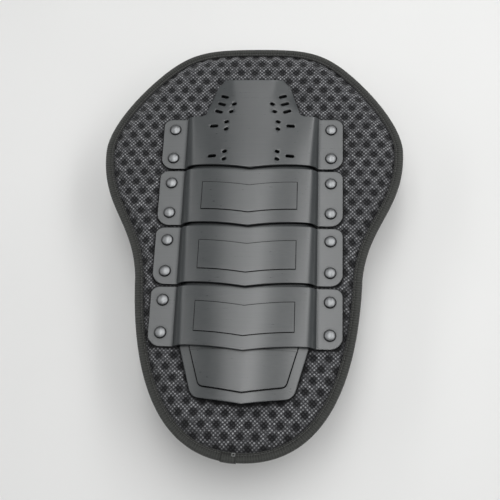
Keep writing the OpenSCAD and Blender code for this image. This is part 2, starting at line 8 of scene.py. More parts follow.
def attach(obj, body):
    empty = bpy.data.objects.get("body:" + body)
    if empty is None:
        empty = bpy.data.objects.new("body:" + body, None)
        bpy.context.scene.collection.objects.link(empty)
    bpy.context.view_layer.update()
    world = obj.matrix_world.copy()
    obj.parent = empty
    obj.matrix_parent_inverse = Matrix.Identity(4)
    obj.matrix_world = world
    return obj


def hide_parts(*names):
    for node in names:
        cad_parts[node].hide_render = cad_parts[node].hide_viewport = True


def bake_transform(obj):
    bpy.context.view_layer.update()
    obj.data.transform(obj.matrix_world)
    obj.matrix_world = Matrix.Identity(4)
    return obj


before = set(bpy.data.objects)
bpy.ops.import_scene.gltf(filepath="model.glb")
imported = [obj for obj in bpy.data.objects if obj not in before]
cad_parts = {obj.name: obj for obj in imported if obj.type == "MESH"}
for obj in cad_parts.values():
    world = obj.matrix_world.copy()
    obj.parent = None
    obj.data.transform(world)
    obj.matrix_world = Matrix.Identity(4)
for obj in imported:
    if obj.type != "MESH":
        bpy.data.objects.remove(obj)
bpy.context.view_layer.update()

MM = 0.001

# Sections of the pad from the neck to the tail, and the bending lines between them, in millimetres
SECTIONS = ["neck", "upper", "middle", "lower", "tail"]
PITCH = 63.0
STACK_Y = -23.0
BENDS = [STACK_Y + (1.5 - i) * PITCH for i in range(4)]
PLATE_Y = {"upper": STACK_Y + PITCH, "middle": STACK_Y, "lower": STACK_Y - PITCH}
SEAMS = [STACK_Y + PITCH, STACK_Y, STACK_Y - PITCH]

# Heights of the pad's layers, and depths inside its rim
PAD_TOP = 12.5
FACE_RIM = 6.1
LINING = 0.8
LINING_RIM = 1.7
TAPE_W = 9.0
TAPE_LOW = 0.4
TAPE_TOP = 7.4
TAPE_T = 1.2
FOLD = 3.0
RISE_START = 9.5
RISE_L = 13.0

# Plates
WALL = 2.5
PLATE_Z = 12.6
EAR_Z = PLATE_Z + WALL
CROWN_W = 138.0
CROWN_H = 19.0
ARCH_R = 190.0
SHOULDER_R = 15.0
DRAFT = math.radians(30)
POINT = 6.5
EAR_L = 60.0
EAR_X = 94.0
EAR_TOP_R = 8.0
EAR_LOW_R = 12.0
PANEL_HALF = 48.5
PANEL_LOW = -16.7
PANEL_HIGH = 14.3
PANEL_H = 0.7
PANEL_GROOVE = 0.5
GROOVE_WALL = 0.15
EDGE_ROUND = 0.45
NECK_LOW = 73.0
NECK_EAR_L = 57.0
NECK_REACH = 103.0
CROWN_END = 58.0
NECK_TIP_H = 4.5
LAP_FALL = 4.0
STEP_ST = 29.0
STEP_L = 2.0
TONGUE_FALL = 2.0
TONGUE_SIDE = 5.0
TONGUE_TAPER = 4.0
LAP_ST = 33.0
LAP_L = 9.0
TAIL_HALF = 62.0
TAIL_TAPER = 0.29
TAIL_L = 47.0
TAIL_RIM = 9.5
TAIL_ARCH_R = 170.0
TAIL_SEAT = 1.1
TAIL_CORNER = 12.0
TAIL_PANEL_H = 1.3
TAIL_GROOVE_W = 1.2
TAIL_GROOVE_D = 0.9
RIVET_X = 82.0
RIVET_PITCH = 33.0
STUD_SHARES = (0.15, 0.6)


def mix(a, b, u):
    return a + (b - a) * u


def clamp(u):
    return min(max(u, 0.0), 1.0)


def smooth(u):
    u = np.clip(u, 0.0, 1.0)
    return u * u * (3 - 2 * u)


# Selecting and finishing, as by hand

def only(*objs):
    bpy.ops.object.select_all(action="DESELECT")
    for o in objs:
        o.select_set(True)
    bpy.context.view_layer.objects.active = objs[-1]


def modify(obj, kind, **settings):
    only(obj)
    mod = obj.modifiers.new(kind.title(), kind)
    for key, value in settings.items():
        setattr(mod, key, value)
    bpy.ops.object.modifier_apply(modifier=mod.name)


def object_mode():
    bpy.ops.object.mode_set(mode="OBJECT")


def edit_chosen(obj, kind, chosen):
    """Enter edit mode with the chosen faces (FACE) or points (VERT) selected."""
    only(obj)
    bpy.ops.object.mode_set(mode="EDIT")
    bpy.ops.mesh.select_mode(type=kind)
    bpy.ops.mesh.select_all(action="DESELECT")
    object_mode()
    items = obj.data.polygons if kind == "FACE" else obj.data.vertices
    items.foreach_set("select", chosen)
    bpy.ops.object.mode_set(mode="EDIT")


def edit_faces(obj, wanted):
    """Enter edit mode with the faces selected whose middle and normal are wanted."""
    edit_chosen(obj, "FACE", [wanted(p.center, p.normal) for p in obj.data.polygons])


def recalculate(obj):
    """Merge points that fall together, and turn the faces outward."""
    only(obj)
    bpy.ops.object.mode_set(mode="EDIT")
    bpy.ops.mesh.select_all(action="SELECT")
    bpy.ops.mesh.remove_doubles(threshold=1e-6)
    bpy.ops.mesh.normals_make_consistent(inside=False)
    object_mode()


def shade(obj, degrees=35):
    only(obj)
    bpy.ops.object.shade_smooth_by_angle(angle=math.radians(degrees))


def join(name, objs):
    only(*objs)
    bpy.ops.object.join()
    whole = bpy.context.view_layer.objects.active
    whole.name = name
    whole.data.name = name
    return whole


def finished(name, objs, mat):
    """The pieces joined in one material."""
    whole = join(name, objs)
    whole.data.materials.clear()
    whole.data.materials.append(mat)
    return whole


def copy_at(obj, place, turn=0.0, flip=False):
    """A copy with its own mesh, turned and placed in millimetres, and mirrored if flipped."""
    twin = obj.copy()
    twin.data = obj.data.copy()
    bpy.context.scene.collection.objects.link(twin)
    matrix = Matrix.Translation(Vector(place) * MM) @ Matrix.Rotation(turn, 4, "Z")
    twin.data.transform(matrix)
    if flip:
        twin.data.transform(Matrix.Scale(-1, 4, Vector((1, 0, 0))))
        twin.data.flip_normals()
    return twin


def remove(obj):
    bpy.data.objects.remove(obj, do_unlink=True)


def place_all(mesh, points):
    mesh.vertices.foreach_set("co", np.asarray(points, np.float32).ravel() * MM)
    mesh.update()


def places(mesh):
    co = np.zeros(len(mesh.vertices) * 3, np.float32)
    mesh.vertices.foreach_get("co", co)
    return co.reshape(-1, 3).astype(float) / MM


def grid_sheet(name, columns, rows, place):
    """A primitive grid of columns by rows, each point moved to where place(column, row) says."""
    bpy.ops.object.select_all(action="DESELECT")
    bpy.ops.mesh.primitive_grid_add(x_subdivisions=len(columns) - 1, y_subdivisions=len(rows) - 1, size=2)
    obj = bpy.context.active_object
    obj.name = name
    obj.data.name = name
    flat = places(obj.data) * MM
    i = np.rint((flat[:, 0] + 1) / 2 * (len(columns) - 1)).astype(int)
    j = np.rint((flat[:, 1] + 1) / 2 * (len(rows) - 1)).astype(int)
    place_all(obj.data, [place(columns[a], rows[b]) for a, b in zip(i, j)])
    return obj


# Rim of the pad: four curves on the right, mirrored on the left, clockwise from the middle of the neck
# The second and third point of each curve pull it towards them

PAD_HALF_L = 223.0
CORNER_LEAN = math.radians(-43.5)
CORNER_RUN = np.array([math.cos(CORNER_LEAN), math.sin(CORNER_LEAN)])
CORNER = np.array([100.0, 193.0])
WIDEST = np.array([157.0, 97.0])
WAIST = np.array([114.0, -43.0])
RIM_SPANS = [
    [(0, PAD_HALF_L), (50, PAD_HALF_L), CORNER - 40 * CORNER_RUN, CORNER],
    [CORNER, CORNER + 35 * CORNER_RUN, WIDEST + (0, 30), WIDEST],
    [WIDEST, WIDEST - (0, 64), WAIST + (6, 60.2), WAIST],
    [WAIST, WAIST - (6, 129.6), (63.84, -PAD_HALF_L), (0, -PAD_HALF_L)],
]
SPAN_STEPS = 400


def rim_line():
    t = np.linspace(0, 1, SPAN_STEPS, endpoint=False)[:, None]
    half = []
    for span in RIM_SPANS:
        a, b, c, d = (np.asarray(point, float) for point in span)
        half.append((1 - t) ** 3 * a + 3 * t * (1 - t) ** 2 * b + 3 * t * t * (1 - t) * c + t ** 3 * d)
    right = np.vstack(half + [np.array([[0.0, -PAD_HALF_L]])])
    left = right[1:-1][::-1] * (-1, 1)
    return np.vstack([right, left])


RIM = rim_line()
RIM_NEXT = np.roll(RIM, -1, axis=0)
RIM_RUN = np.concatenate([[0], np.cumsum(np.linalg.norm(RIM_NEXT - RIM, axis=1))])
RIM_L = RIM_RUN[-1]
RIM_TREE = kdtree.KDTree(len(RIM))
for index, point in enumerate(RIM):
    RIM_TREE.insert((point[0], point[1], 0), index)
RIM_TREE.balance()


def rim_at(run):
    """Place, direction along the rim and direction into the pad, at a run along the rim."""
    run = run % RIM_L
    k = min(int(np.searchsorted(RIM_RUN, run, side="right")) - 1, len(RIM) - 1)
    u = (run - RIM_RUN[k]) / (RIM_RUN[k + 1] - RIM_RUN[k])
    point = mix(RIM[k], RIM_NEXT[k], u)
    before, after = RIM[(k - 2) % len(RIM)], RIM_NEXT[(k + 2) % len(RIM)]
    along = (after - before) / np.linalg.norm(after - before)
    return point, along, np.array([along[1], -along[0]])


def run_at(y):
    """Run along the right half of the rim to where it passes a height."""
    half = len(RIM) // 2
    k = int(np.argmax(RIM[:half + 1, 1] < y)) - 1
    u = (RIM[k, 1] - y) / (RIM[k, 1] - RIM[k + 1, 1])
    return mix(RIM_RUN[k], RIM_RUN[k + 1], u)


def depths(points):
    """How far inside the rim each point lies, negative outside."""
    out = np.zeros(len(points))
    for n, (x, y) in enumerate(points[:, :2]):
        _, k, far = RIM_TREE.find((x, y, 0))
        along = RIM_NEXT[k] - RIM[k - 1]
        inside = (x - RIM[k, 0]) * along[1] - (y - RIM[k, 1]) * along[0] > 0
        out[n] = far if inside else -far
    return out


def rivet_places(section):
    """Places of a section's four rivets, or of the tail's four studs."""
    if section == "tail":
        return [(side * (TAIL_HALF - TAIL_TAPER * drop - TAIL_RIM / 2), BENDS[3] - drop)
                for drop in (share * TAIL_L for share in STUD_SHARES) for side in (-1, 1)]
    y = NECK_LOW + NECK_EAR_L / 2 if section == "neck" else PLATE_Y[section]
    return [(side * RIVET_X, y + end * RIVET_PITCH / 2) for end in (-1, 1) for side in (-1, 1)]


FASTENERS = np.array([p for s in SECTIONS for p in rivet_places(s)])


# Materials

class Wiring:
    """Adds nodes to one material in plain calls."""

    def __init__(self, name):
        self.mat = bpy.data.materials.new(name)
        self.mat.use_nodes = True
        self.nodes = self.mat.node_tree.nodes
        self.links = self.mat.node_tree.links
        self.shader = self.nodes["Principled BSDF"]

    def finish(self, **inputs):
        """Feed the shader's inputs, named with _ for each space."""
        for key, value in inputs.items():
            self.feed(self.shader.inputs[key.replace("_", " ")], value)
        return self.mat

    def node(self, kind, **inputs):
        n = self.nodes.new(kind)
        for key, value in inputs.items():
            self.feed(n.inputs[key], value)
        return n

    def feed(self, socket, value):
        if hasattr(value, "is_output"):
            self.links.new(value, socket)
        else:
            socket.default_value = value

    def spot(self):
        return self.node("ShaderNodeTexCoord").outputs["Object"]

    def split(self, vector):
        return self.node("ShaderNodeSeparateXYZ", Vector=vector).outputs

    def math(self, operation, a, b=0.0):
        n = self.nodes.new("ShaderNodeMath")
        n.operation = operation
        for socket, value in zip(n.inputs, (a, b)):
            self.feed(socket, value)
        return n.outputs[0]

    def noise(self, vector, scale, detail=2.0, rough=0.5):
        n = self.node("ShaderNodeTexNoise", Vector=vector, Scale=scale, Detail=detail, Roughness=rough)
        return n.outputs["Fac"]

    def ramp(self, fac, *stops):
        n = self.nodes.new("ShaderNodeValToRGB")
        self.feed(n.inputs["Fac"], fac)
        while len(n.color_ramp.elements) < len(stops):
            n.color_ramp.elements.new(0.5)
        for element, (place, colour) in zip(n.color_ramp.elements, stops):
            element.position = place
            element.color = (*colour, 1)
        return n.outputs["Color"]

    def range(self, value, low, high, new_low, new_high):
        n = self.node("ShaderNodeMapRange", Value=value)
        for key, number in zip(("From Min", "From Max", "To Min", "To Max"), (low, high, new_low, new_high)):
            n.inputs[key].default_value = number
        return n.outputs["Result"]

    def blend(self, fac, a, b):
        n = self.nodes.new("ShaderNodeMix")
        n.data_type = "RGBA"
        self.feed(n.inputs[0], fac)
        for socket, value in zip((n.inputs[6], n.inputs[7]), (a, b)):
            self.feed(socket, value if hasattr(value, "is_output") else (*value, 1))
        return n.outputs[2]

    def bump(self, height, distance, strength=1.0, under=None):
        n = self.node("ShaderNodeBump", Height=height, Distance=distance, Strength=strength)
        if under is not None:
            self.links.new(under, n.inputs["Normal"])
        return n.outputs["Normal"]

    def attribute(self, name):
        n = self.nodes.new("ShaderNodeAttribute")
        n.attribute_name = name
        return n.outputs["Fac"]


# Pitches of the knit's loops, the tape's ribs and the lining's yarns, in metres
LOOP_W = 0.00202
LOOP_L = 0.00198
RIB_PITCH = 0.0026
YARN_PITCH = 0.0012


def moulded_plastic():
    """Satin moulded plastic with faint drawn streaks and paler scuffed edges, with shade painted into its
    crevices as darker colour and weaker reflection.
    """
    w = Wiring("plate_plastic")
    spot = w.spot()
    flow = w.noise(spot, 22, 3)
    grain = w.noise(spot, 2600, 1)
    scuff = w.noise(spot, 240, 4, 0.7)
    drawn = w.node("ShaderNodeVectorMath", Vector=spot)
    drawn.operation = "MULTIPLY"
    drawn.inputs[1].default_value = (0.012, 1, 1)
    streak = w.noise(drawn.outputs["Vector"], 800, 2, 0.6)
    tone = w.math("ADD", w.math("MULTIPLY", flow, 0.5), w.math("MULTIPLY", streak, 0.5))
    base = w.ramp(tone, (0.3, (0.040, 0.0443, 0.0457)), (0.7, (0.0535, 0.0578, 0.0592)))
    edge = w.range(w.node("ShaderNodeNewGeometry").outputs["Pointiness"], 0.52, 0.6, 0, 0.5)
    wear_and_highlight = w.math("MULTIPLY", edge, w.range(scuff, 0.35, 0.65, 0.2, 1))
    clean = w.blend(wear_and_highlight, base, (0.105, 0.111, 0.114))
    # Painted shade: ambient occlusion within 3.5 mm darkens the colour towards black and weakens the
    # reflection in crevices, grooves, under the laps and round the rivets.
    crevice_ao = w.node("ShaderNodeAmbientOcclusion")
    crevice_ao.samples = 8
    crevice_ao.inputs["Distance"].default_value = 0.0035
    clear_of_painted_shade = w.range(crevice_ao.outputs["AO"], 0.52, 0.95, 0, 1)
    wear = w.math("ADD", w.math("MULTIPLY", scuff, 0.3), w.math("MULTIPLY", streak, 0.7))
    return w.finish(
        Base_Color=w.blend(clear_of_painted_shade, (0.002, 0.002, 0.0022), clean),
        Specular_IOR_Level=w.math("MULTIPLY", clear_of_painted_shade, 0.8),
        Roughness=w.range(wear, 0.3, 0.7, 0.27, 0.33),
        Normal=w.bump(flow, 0.0003, 0.12, w.bump(grain, 0.00005, 0.3)))


def rivet_enamel():
    """Satin grey enamel on metal, with shade painted dark on the edge of the head."""
    w = Wiring("rivet_enamel")
    spot = w.spot()
    cloud = w.noise(spot, 300, 3, 0.6)
    speck = w.noise(spot, 2400, 2)
    base = w.ramp(cloud, (0.3, (0.235, 0.242, 0.247)), (0.7, (0.305, 0.312, 0.317)))
    wear = w.math("ADD", w.math("MULTIPLY", cloud, 0.6), w.math("MULTIPLY", speck, 0.4))
    # Painted shade: the rim share darkens the head's edge to near black where it meets the ear.
    return w.finish(
        Base_Color=w.blend(w.attribute("rim"), base, (0.010, 0.010, 0.011)),
        Roughness=w.range(wear, 0.3, 0.7, 0.38, 0.48),
        Normal=w.bump(speck, 0.00004, 0.4),
        Metallic=0.85)


def spacer_knit():
    """Grey heathered knit: uneven pale loops on dark ground, with shade painted into the pits and onto the
    knit beside the tape and the plates' edges.
    """
    w = Wiring("spacer_knit")
    spot = w.spot()
    x, y, _ = w.split(spot)
    bent_x = w.math("MULTIPLY", w.math("SUBTRACT", w.noise(spot, 120, 2), 0.5), 2.0)
    bent_y = w.math("MULTIPLY", w.math("SUBTRACT", w.noise(spot, 190, 2), 0.5), 1.8)
    across = w.math("SINE", w.math("ADD", w.math("MULTIPLY", x, math.pi / LOOP_W), bent_x))
    along = w.math("SINE", w.math("ADD", w.math("MULTIPLY", y, math.pi / LOOP_L), bent_y))
    loops = w.math("MULTIPLY", across, along)
    cells = w.node("ShaderNodeTexVoronoi", Vector=spot, Scale=430)
    chance = w.node("ShaderNodeSeparateColor", Color=cells.outputs["Color"]).outputs[0]
    thread = w.range(loops, 0.0, 0.55, 0, 1)
    heather = w.noise(spot, 170, 3, 0.6)
    pale = w.blend(chance, (0.064, 0.0653, 0.069), (0.318, 0.322, 0.333))
    ground = w.blend(w.range(heather, 0.35, 0.65, 0, 1), (0.022, 0.0225, 0.0245), (0.048, 0.049, 0.0525))
    face = w.blend(thread, ground, pale)
    # Painted shade: the pits are darkened towards near black in their middles.
    deep = w.blend(thread, (0.005, 0.005, 0.006), (0.026, 0.027, 0.029))
    open_knit = w.blend(w.attribute("pit"), face, deep)
    # Painted shade: the knit is darkened to near black beside the tape and beside every edge of the plates.
    return w.finish(
        Base_Color=w.blend(w.attribute("painted_shade"), open_knit, (0.004, 0.004, 0.0045)),
        Roughness=w.range(heather, 0.3, 0.7, 0.82, 0.98),
        Normal=w.bump(w.math("ADD", loops, w.math("MULTIPLY", heather, 0.6)), 0.00045, 0.7),
        Specular_IOR_Level=0.25,
        Sheen_Weight=0.15,
        Sheen_Roughness=0.5)


def ribbed_tape():
    """Dark olive grey tape, ribbed across, with a painted highlight on its outer half broken up by the yarn,
    and painted shade in its stitch groove and along its inner edge.
    """
    w = Wiring("ribbed_tape")
    run = w.attribute("along")
    spot = w.spot()
    ribs = w.math("SINE", w.math("MULTIPLY", run, 2 * math.pi / RIB_PITCH))
    yarn = w.noise(spot, 700, 3, 0.65)
    patch = w.noise(spot, 60, 3)
    fold = w.attribute("fold")
    base = w.ramp(patch, (0.3, (0.0085, 0.009, 0.008)), (0.7, (0.016, 0.0166, 0.0148)))
    lit = w.blend(w.math("MULTIPLY", w.range(ribs, -0.2, 1, 0, 1), 0.7), base, (0.038, 0.0395, 0.036))
    fuzz = w.blend(w.range(yarn, 0.45, 0.7, 0, 0.5), lit, (0.055, 0.0565, 0.0526))
    # Painted highlight: the fold share lightens the outer half of the tape, broken up by the yarn noise.
    wear_and_highlight = w.blend(w.math("MULTIPLY", fold, w.range(yarn, 0.3, 0.7, 0.3, 0.75)), fuzz, (0.060, 0.062, 0.0573))
    # Painted shade: the seam share darkens the tape in its stitch groove, along its inner edge against the
    # knit, and over the lapped piece's ends.
    return w.finish(
        Base_Color=w.blend(w.attribute("seam"), wear_and_highlight, (0.008, 0.008, 0.0075)),
        Roughness=w.range(yarn, 0.3, 0.7, 0.68, 0.9),
        Normal=w.bump(w.math("ADD", ribs, w.math("MULTIPLY", yarn, 0.8)), 0.00018, 0.9),
        Sheen_Weight=0.2,
        Specular_IOR_Level=0.3)


def sewing_thread(name, dark, pale):
    """Twisted thread between a dark and a pale colour."""
    w = Wiring(name)
    twist = w.noise(w.spot(), 3000, 1)
    return w.finish(
        Base_Color=w.ramp(twist, (0.3, dark), (0.7, pale)),
        Roughness=w.range(twist, 0.3, 0.7, 0.5, 0.8),
        Normal=w.bump(twist, 0.0001))


def woven_lining():
    """Plain weave lining cloth in dark grey."""
    w = Wiring("woven_lining")
    spot = w.spot()
    x, y, _ = w.split(spot)
    warp = w.math("SINE", w.math("MULTIPLY", x, 2 * math.pi / YARN_PITCH))
    weft = w.math("SINE", w.math("MULTIPLY", y, 2 * math.pi / YARN_PITCH))
    weave = w.math("MULTIPLY", warp, weft)
    slub = w.noise(spot, 500, 3, 0.6)
    cloud = w.noise(spot, 20, 2)
    base = w.ramp(cloud, (0.3, (0.034, 0.036, 0.038)), (0.7, (0.048, 0.050, 0.053)))
    raised = w.math("MULTIPLY", w.range(weave, 0, 1, 0, 1), w.range(slub, 0.3, 0.7, 0.2, 0.9))
    return w.finish(
        Base_Color=w.blend(raised, base, (0.095, 0.098, 0.103)),
        Roughness=w.range(slub, 0.3, 0.7, 0.75, 0.95),
        Normal=w.bump(w.math("ADD", weave, slub), 0.00015, 0.8),
        Specular_IOR_Level=0.25)


def plated_steel():
    """Dull zinc plating with fine turning marks and stains."""
    w = Wiring("plated_steel")
    spot = w.spot()
    marks = w.noise(spot, 1800, 3, 0.7)
    stain = w.noise(spot, 130, 3)
    return w.finish(
        Base_Color=w.ramp(stain, (0.3, (0.30, 0.31, 0.32)), (0.7, (0.46, 0.47, 0.48))),
        Roughness=w.range(marks, 0.3, 0.7, 0.3, 0.5),
        Normal=w.bump(marks, 0.00004, 0.5),
        Metallic=1.0)


PLATE_MAT = moulded_plastic()
RIVET_MAT = rivet_enamel()
KNIT_MAT = spacer_knit()
TAPE_MAT = ribbed_tape()
THREAD_MAT = sewing_thread("sewing_thread", (0.030, 0.031, 0.029), (0.10, 0.102, 0.096))
TACK_MAT = sewing_thread("tack_thread", (0.10, 0.102, 0.10), (0.30, 0.306, 0.30))
LINING_MAT = woven_lining()
STEEL_MAT = plated_steel()


# Padded face: a sheet of coarse cells swells between what holds it, is made finer, and takes its pits

CELL_Y = PITCH / 11
CELL_X = 5.6
LINING_CELL_Y = PITCH / 28
LINING_CELL_X = 2.24
FACE_EDGE = 4.0
SWELL_CAP = 1.1
PIT_X, PIT_Y = 14.9, 10.8
PIT_START = (6.74, 5.4)
PIT_R = 5.3
PIT_CORE = 2.8
PIT_DEPTH = 1.9
PIT_EDGE = 7.5
PIT_FADE = 3.0
HELD_EDGE = RISE_START + 4
HELD_PAST = 1.5
NECK_HELD = 46.0
LOW_EAR_PAST = 2.0
SWELL_FADE = 8.0
SWELL_FRAMES = 20
WASHER_HOLD = 6.5
WASHER_EASE = 4.5
WASHER_SINK = 1.95
GRID_REACH_X = 168.0
GRID_REACH_UP = 252.0
GRID_REACH_DOWN = 206.0
WAVE_H = 0.25
WAVE_TURNS = (0.031, 0.017)
WAVE_START = 14.0
WAVE_FADE = 10.0
LINING_GAP = 0.1
TAPE_SHADE = 0.75
TAPE_SHADE_W = 4.0
PLATE_SHADE = 0.9
PLATE_SHADE_START = 0.6
PLATE_SHADE_W = 3.4


def under_plates(x, y, grow=0.0):
    """Where plates hold the pad down."""
    ax = abs(x)
    if BENDS[3] - LOW_EAR_PAST < y < NECK_LOW + NECK_EAR_L + grow:
        return ax < EAR_X + grow
    if NECK_LOW < y < NECK_LOW + NECK_REACH + grow:
        return ax < NECK_HELD + grow
    drop = BENDS[3] - y
    return 0 <= drop < TAIL_L + POINT + grow and ax < TAIL_HALF + grow - TAIL_TAPER * drop


def swell(sheet, depth):
    """Let the held sheet swell like the knit between its seams, by cloth simulation, up to a cap."""
    flat = places(sheet.data)
    group = sheet.vertex_groups.new(name="held")
    for n, p in enumerate(flat):
        held = depth[n] < HELD_EDGE or under_plates(p[0], p[1])
        group.add([n], 1.0 if held else 0.0, "REPLACE")
    only(sheet)
    cloth = sheet.modifiers.new("Cloth", "CLOTH")
    knit = cloth.settings
    knit.quality = 5
    knit.mass = 0.2
    knit.tension_stiffness = 8
    knit.compression_stiffness = 8
    knit.bending_stiffness = 2
    knit.vertex_group_mass = "held"
    knit.use_pressure = True
    knit.uniform_pressure_force = 4
    knit.effector_weights.gravity = 0
    scene = bpy.context.scene
    cloth.point_cache.frame_start = 1
    cloth.point_cache.frame_end = SWELL_FRAMES
    for number in range(1, SWELL_FRAMES + 1):
        scene.frame_set(number)
    bpy.ops.object.modifier_apply(modifier=cloth.name)
    scene.frame_set(1)
    sheet.vertex_groups.clear()
    moved = places(sheet.data)
    lift = np.abs(moved[:, 2] - flat[:, 2])
    top = np.percentile(lift, 99) if lift.max() > 0 else 1.0
    flat[:, 2] = np.clip(lift / max(top, 1e-6), 0, 1) * SWELL_CAP
    place_all(sheet.data, flat)


def pit_at(points):
    """Depth share of the pits, from 0 on the knit to 1 in the middle of a pit."""
    row = np.rint((points[:, 1] - PIT_START[1]) / PIT_Y)
    best = np.zeros(len(points))
    for step in (-1, 0, 1):
        r = row + step
        y = PIT_START[1] + r * PIT_Y
        x0 = PIT_START[0] + r * PIT_X / 2
        x = x0 + np.rint((points[:, 0] - x0) / PIT_X) * PIT_X
        far = np.hypot(points[:, 0] - x, points[:, 1] - y)
        best = np.maximum(best, 1 - smooth((far - PIT_CORE) / (PIT_R - PIT_CORE)))
    return best


def face_height(depth):
    """Height of the face, rising from the rim in a quarter wave."""
    share = np.clip((depth - RISE_START) / RISE_L, 0, 1)
    return FACE_RIM + (PAD_TOP - FACE_RIM) * np.sin(math.pi / 2 * share)


def pressed(points):
    """How far the washers press the back in, from 0 to 1."""
    apart = points[:, None, :2] - FASTENERS[None, :, :]
    far = np.min(np.hypot(apart[..., 0], apart[..., 1]), axis=1)
    return 1 - smooth((far - WASHER_HOLD) / WASHER_EASE)


def lining_height(points, depth):
    """Height of the lining's outer side."""
    rim = LINING_RIM * (1 - np.clip(2 * (depth - RISE_START) / RISE_L, 0, 1))
    return np.maximum(rim, WASHER_SINK * pressed(points))


def keep_deep(sheet, edge):
    """Cut the sheet back to where it lies deep enough inside the rim."""
    edit_chosen(sheet, "VERT", depths(places(sheet.data)) < edge)
    bpy.ops.mesh.delete(type="VERT")
    object_mode()


def pad_grid(name, cell_x, cell_y):
    """A flat sheet that reaches past the rim all round, with a row of points on each seam."""
    side = round(GRID_REACH_X / cell_x)
    up = round(GRID_REACH_UP / cell_y)
    down = round(GRID_REACH_DOWN / cell_y)
    columns = [cell_x * k for k in range(-side, side + 1)]
    rows = [STACK_Y + cell_y * k for k in range(-down, up + 1)]
    return grid_sheet(name, columns, rows, lambda x, y: (x, y, 0.0))


def split_at_seams(sheet, names):
    """Cut the sheet into four along the seams between the bending lines."""
    limits = [1e4] + SEAMS + [-1e4]
    parts = []
    for k, name in enumerate(names):
        part = copy_at(sheet, (0, 0, 0))
        part.name = name
        part.data.name = name
        high, low = limits[k] * MM, limits[k + 1] * MM
        edit_faces(part, lambda c, n: not low < c.y < high)
        bpy.ops.mesh.delete(type="FACE")
        object_mode()
        parts.append(part)
    remove(sheet)
    return parts


def give_back(part, heights):
    """Close a sheet into a solid: its underside lies straight below it at the given heights."""
    count = len(part.data.vertices)
    top = places(part.data)
    modify(part, "SOLIDIFY", thickness=0.002, offset=-1)
    every = places(part.data)
    every[:count] = top
    every[count:] = top
    every[count:, 2] = heights
    place_all(part.data, every)


def store(mesh, name, values):
    attribute = mesh.attributes.new(name, "FLOAT", "POINT")
    attribute.data.foreach_set("value", np.asarray(values, np.float32))


def plate_shadow(plates):
    """A tree of places along all edges of the plates, seen from above."""
    spots = []
    for plate in plates:
        points = places(plate.data)[:, :2]
        for edge in plate.data.edges:
            a, b = points[edge.vertices[0]], points[edge.vertices[1]]
            count = int(np.hypot(*(b - a))) + 1
            spots.extend(mix(a, b, k / count) for k in range(count))
    tree = kdtree.KDTree(len(spots))
    for n, (x, y) in enumerate(spots):
        tree.insert((x, y, 0), n)
    tree.balance()
    return tree


def make_pad(shadow):
    """The padded face and its foam in four pieces."""
    sheet = pad_grid("pad", CELL_X, CELL_Y)
    swell(sheet, depths(places(sheet.data)))
    modify(sheet, "SUBSURF", levels=2, render_levels=2)
    keep_deep(sheet, FACE_EDGE)
    names = ["pad_neck", "pad_upper", "pad_middle", "pad_lower"]
    parts = split_at_seams(sheet, names)
    for part in parts:
        top = places(part.data)
        depth = depths(top)
        pit = pit_at(top) * smooth((depth - PIT_EDGE) / PIT_FADE)
        held = np.array([under_plates(x, y, HELD_PAST) for x, y, _ in top])
        rise = np.where(held, 0.0, top[:, 2] * smooth((depth - RISE_START) / SWELL_FADE))
        turns = top[:, 0] * WAVE_TURNS[0] + top[:, 1] * WAVE_TURNS[1]
        wave = WAVE_H * np.sin(turns) * smooth((depth - WAVE_START) / WAVE_FADE)
        soft = np.where(held, 0.0, wave)
        top[:, 2] = face_height(depth) + rise + soft - PIT_DEPTH * pit
        top[held, 2] = np.minimum(top[held, 2], PAD_TOP)
        place_all(part.data, top)
        back = lining_height(top, depth) + LINING + LINING_GAP
        count = len(top)
        give_back(part, back)
        below = np.zeros(len(part.data.vertices) - count)
        # Stored for the knit's painted shade: the pits' share darkens the pits, and a second share darkens
        # the knit beside the tape and beside every edge of the plates.
        store(part.data, "pit", np.concatenate([pit, below]))
        beside_tape = TAPE_SHADE * (1 - smooth((depth - TAPE_W) / TAPE_SHADE_W))
        plate_far = np.array([shadow.find((x, y, 0))[2] for x, y, _ in top])
        beside_plate = PLATE_SHADE * (1 - smooth((plate_far - PLATE_SHADE_START) / PLATE_SHADE_W))
        store(part.data, "painted_shade", np.concatenate([np.maximum(beside_tape, beside_plate), below]))
        part.data.materials.append(KNIT_MAT)
        shade(part, 50)
    return parts


def make_lining():
    """The back lining in four pieces."""
    sheet = pad_grid("lining", LINING_CELL_X, LINING_CELL_Y)
    keep_deep(sheet, FACE_EDGE + 0.5)
    parts = split_at_seams(sheet, ["lining_neck", "lining_upper", "lining_middle", "lining_lower"])
    for part in parts:
        low = places(part.data)
        depth = depths(low)
        height = lining_height(low, depth)
        low[:, 2] = height + LINING
        place_all(part.data, low)
        give_back(part, height)
        part.data.materials.append(LINING_MAT)
        shade(part, 50)
    return parts


# Binding: one folded tape swept round the rim, with its stitches and its lapped ends

RUN_STEP = 1.9
STITCH_PITCH = 3.4
STITCH_DEPTH = 7.2
STITCH_R = 0.36
STITCH_L = 2.5
STITCH_SAG = 0.3
STITCH_HALF = 1.4
STITCH_TIP = 0.25
STITCH_TAPER = 0.15
STITCH_SINK = 0.22
TAPE_UNDER = 3.0
TAPE_OVER = 4.0
PUCKER_FADE = 4.0
TAPE_JOINT = RIM_L / 2 + 4
LAPPED_L = 15.0
LAP_LIFT = 0.7
# Painted shade over the two ends of the lapped piece of tape
LAP_END_SHADE = 0.8
TACK_IN = 2.5
TACK_LIFT = 0.25

# Sides of the tack: depth inside the rim, shift along it, and quarter turns
TACK_SIDES = [(5.9, 0.0, 0.0), (8.5, 0.0, 0.0), (7.2, -1.4, 1.0), (7.2, 1.4, 1.0)]

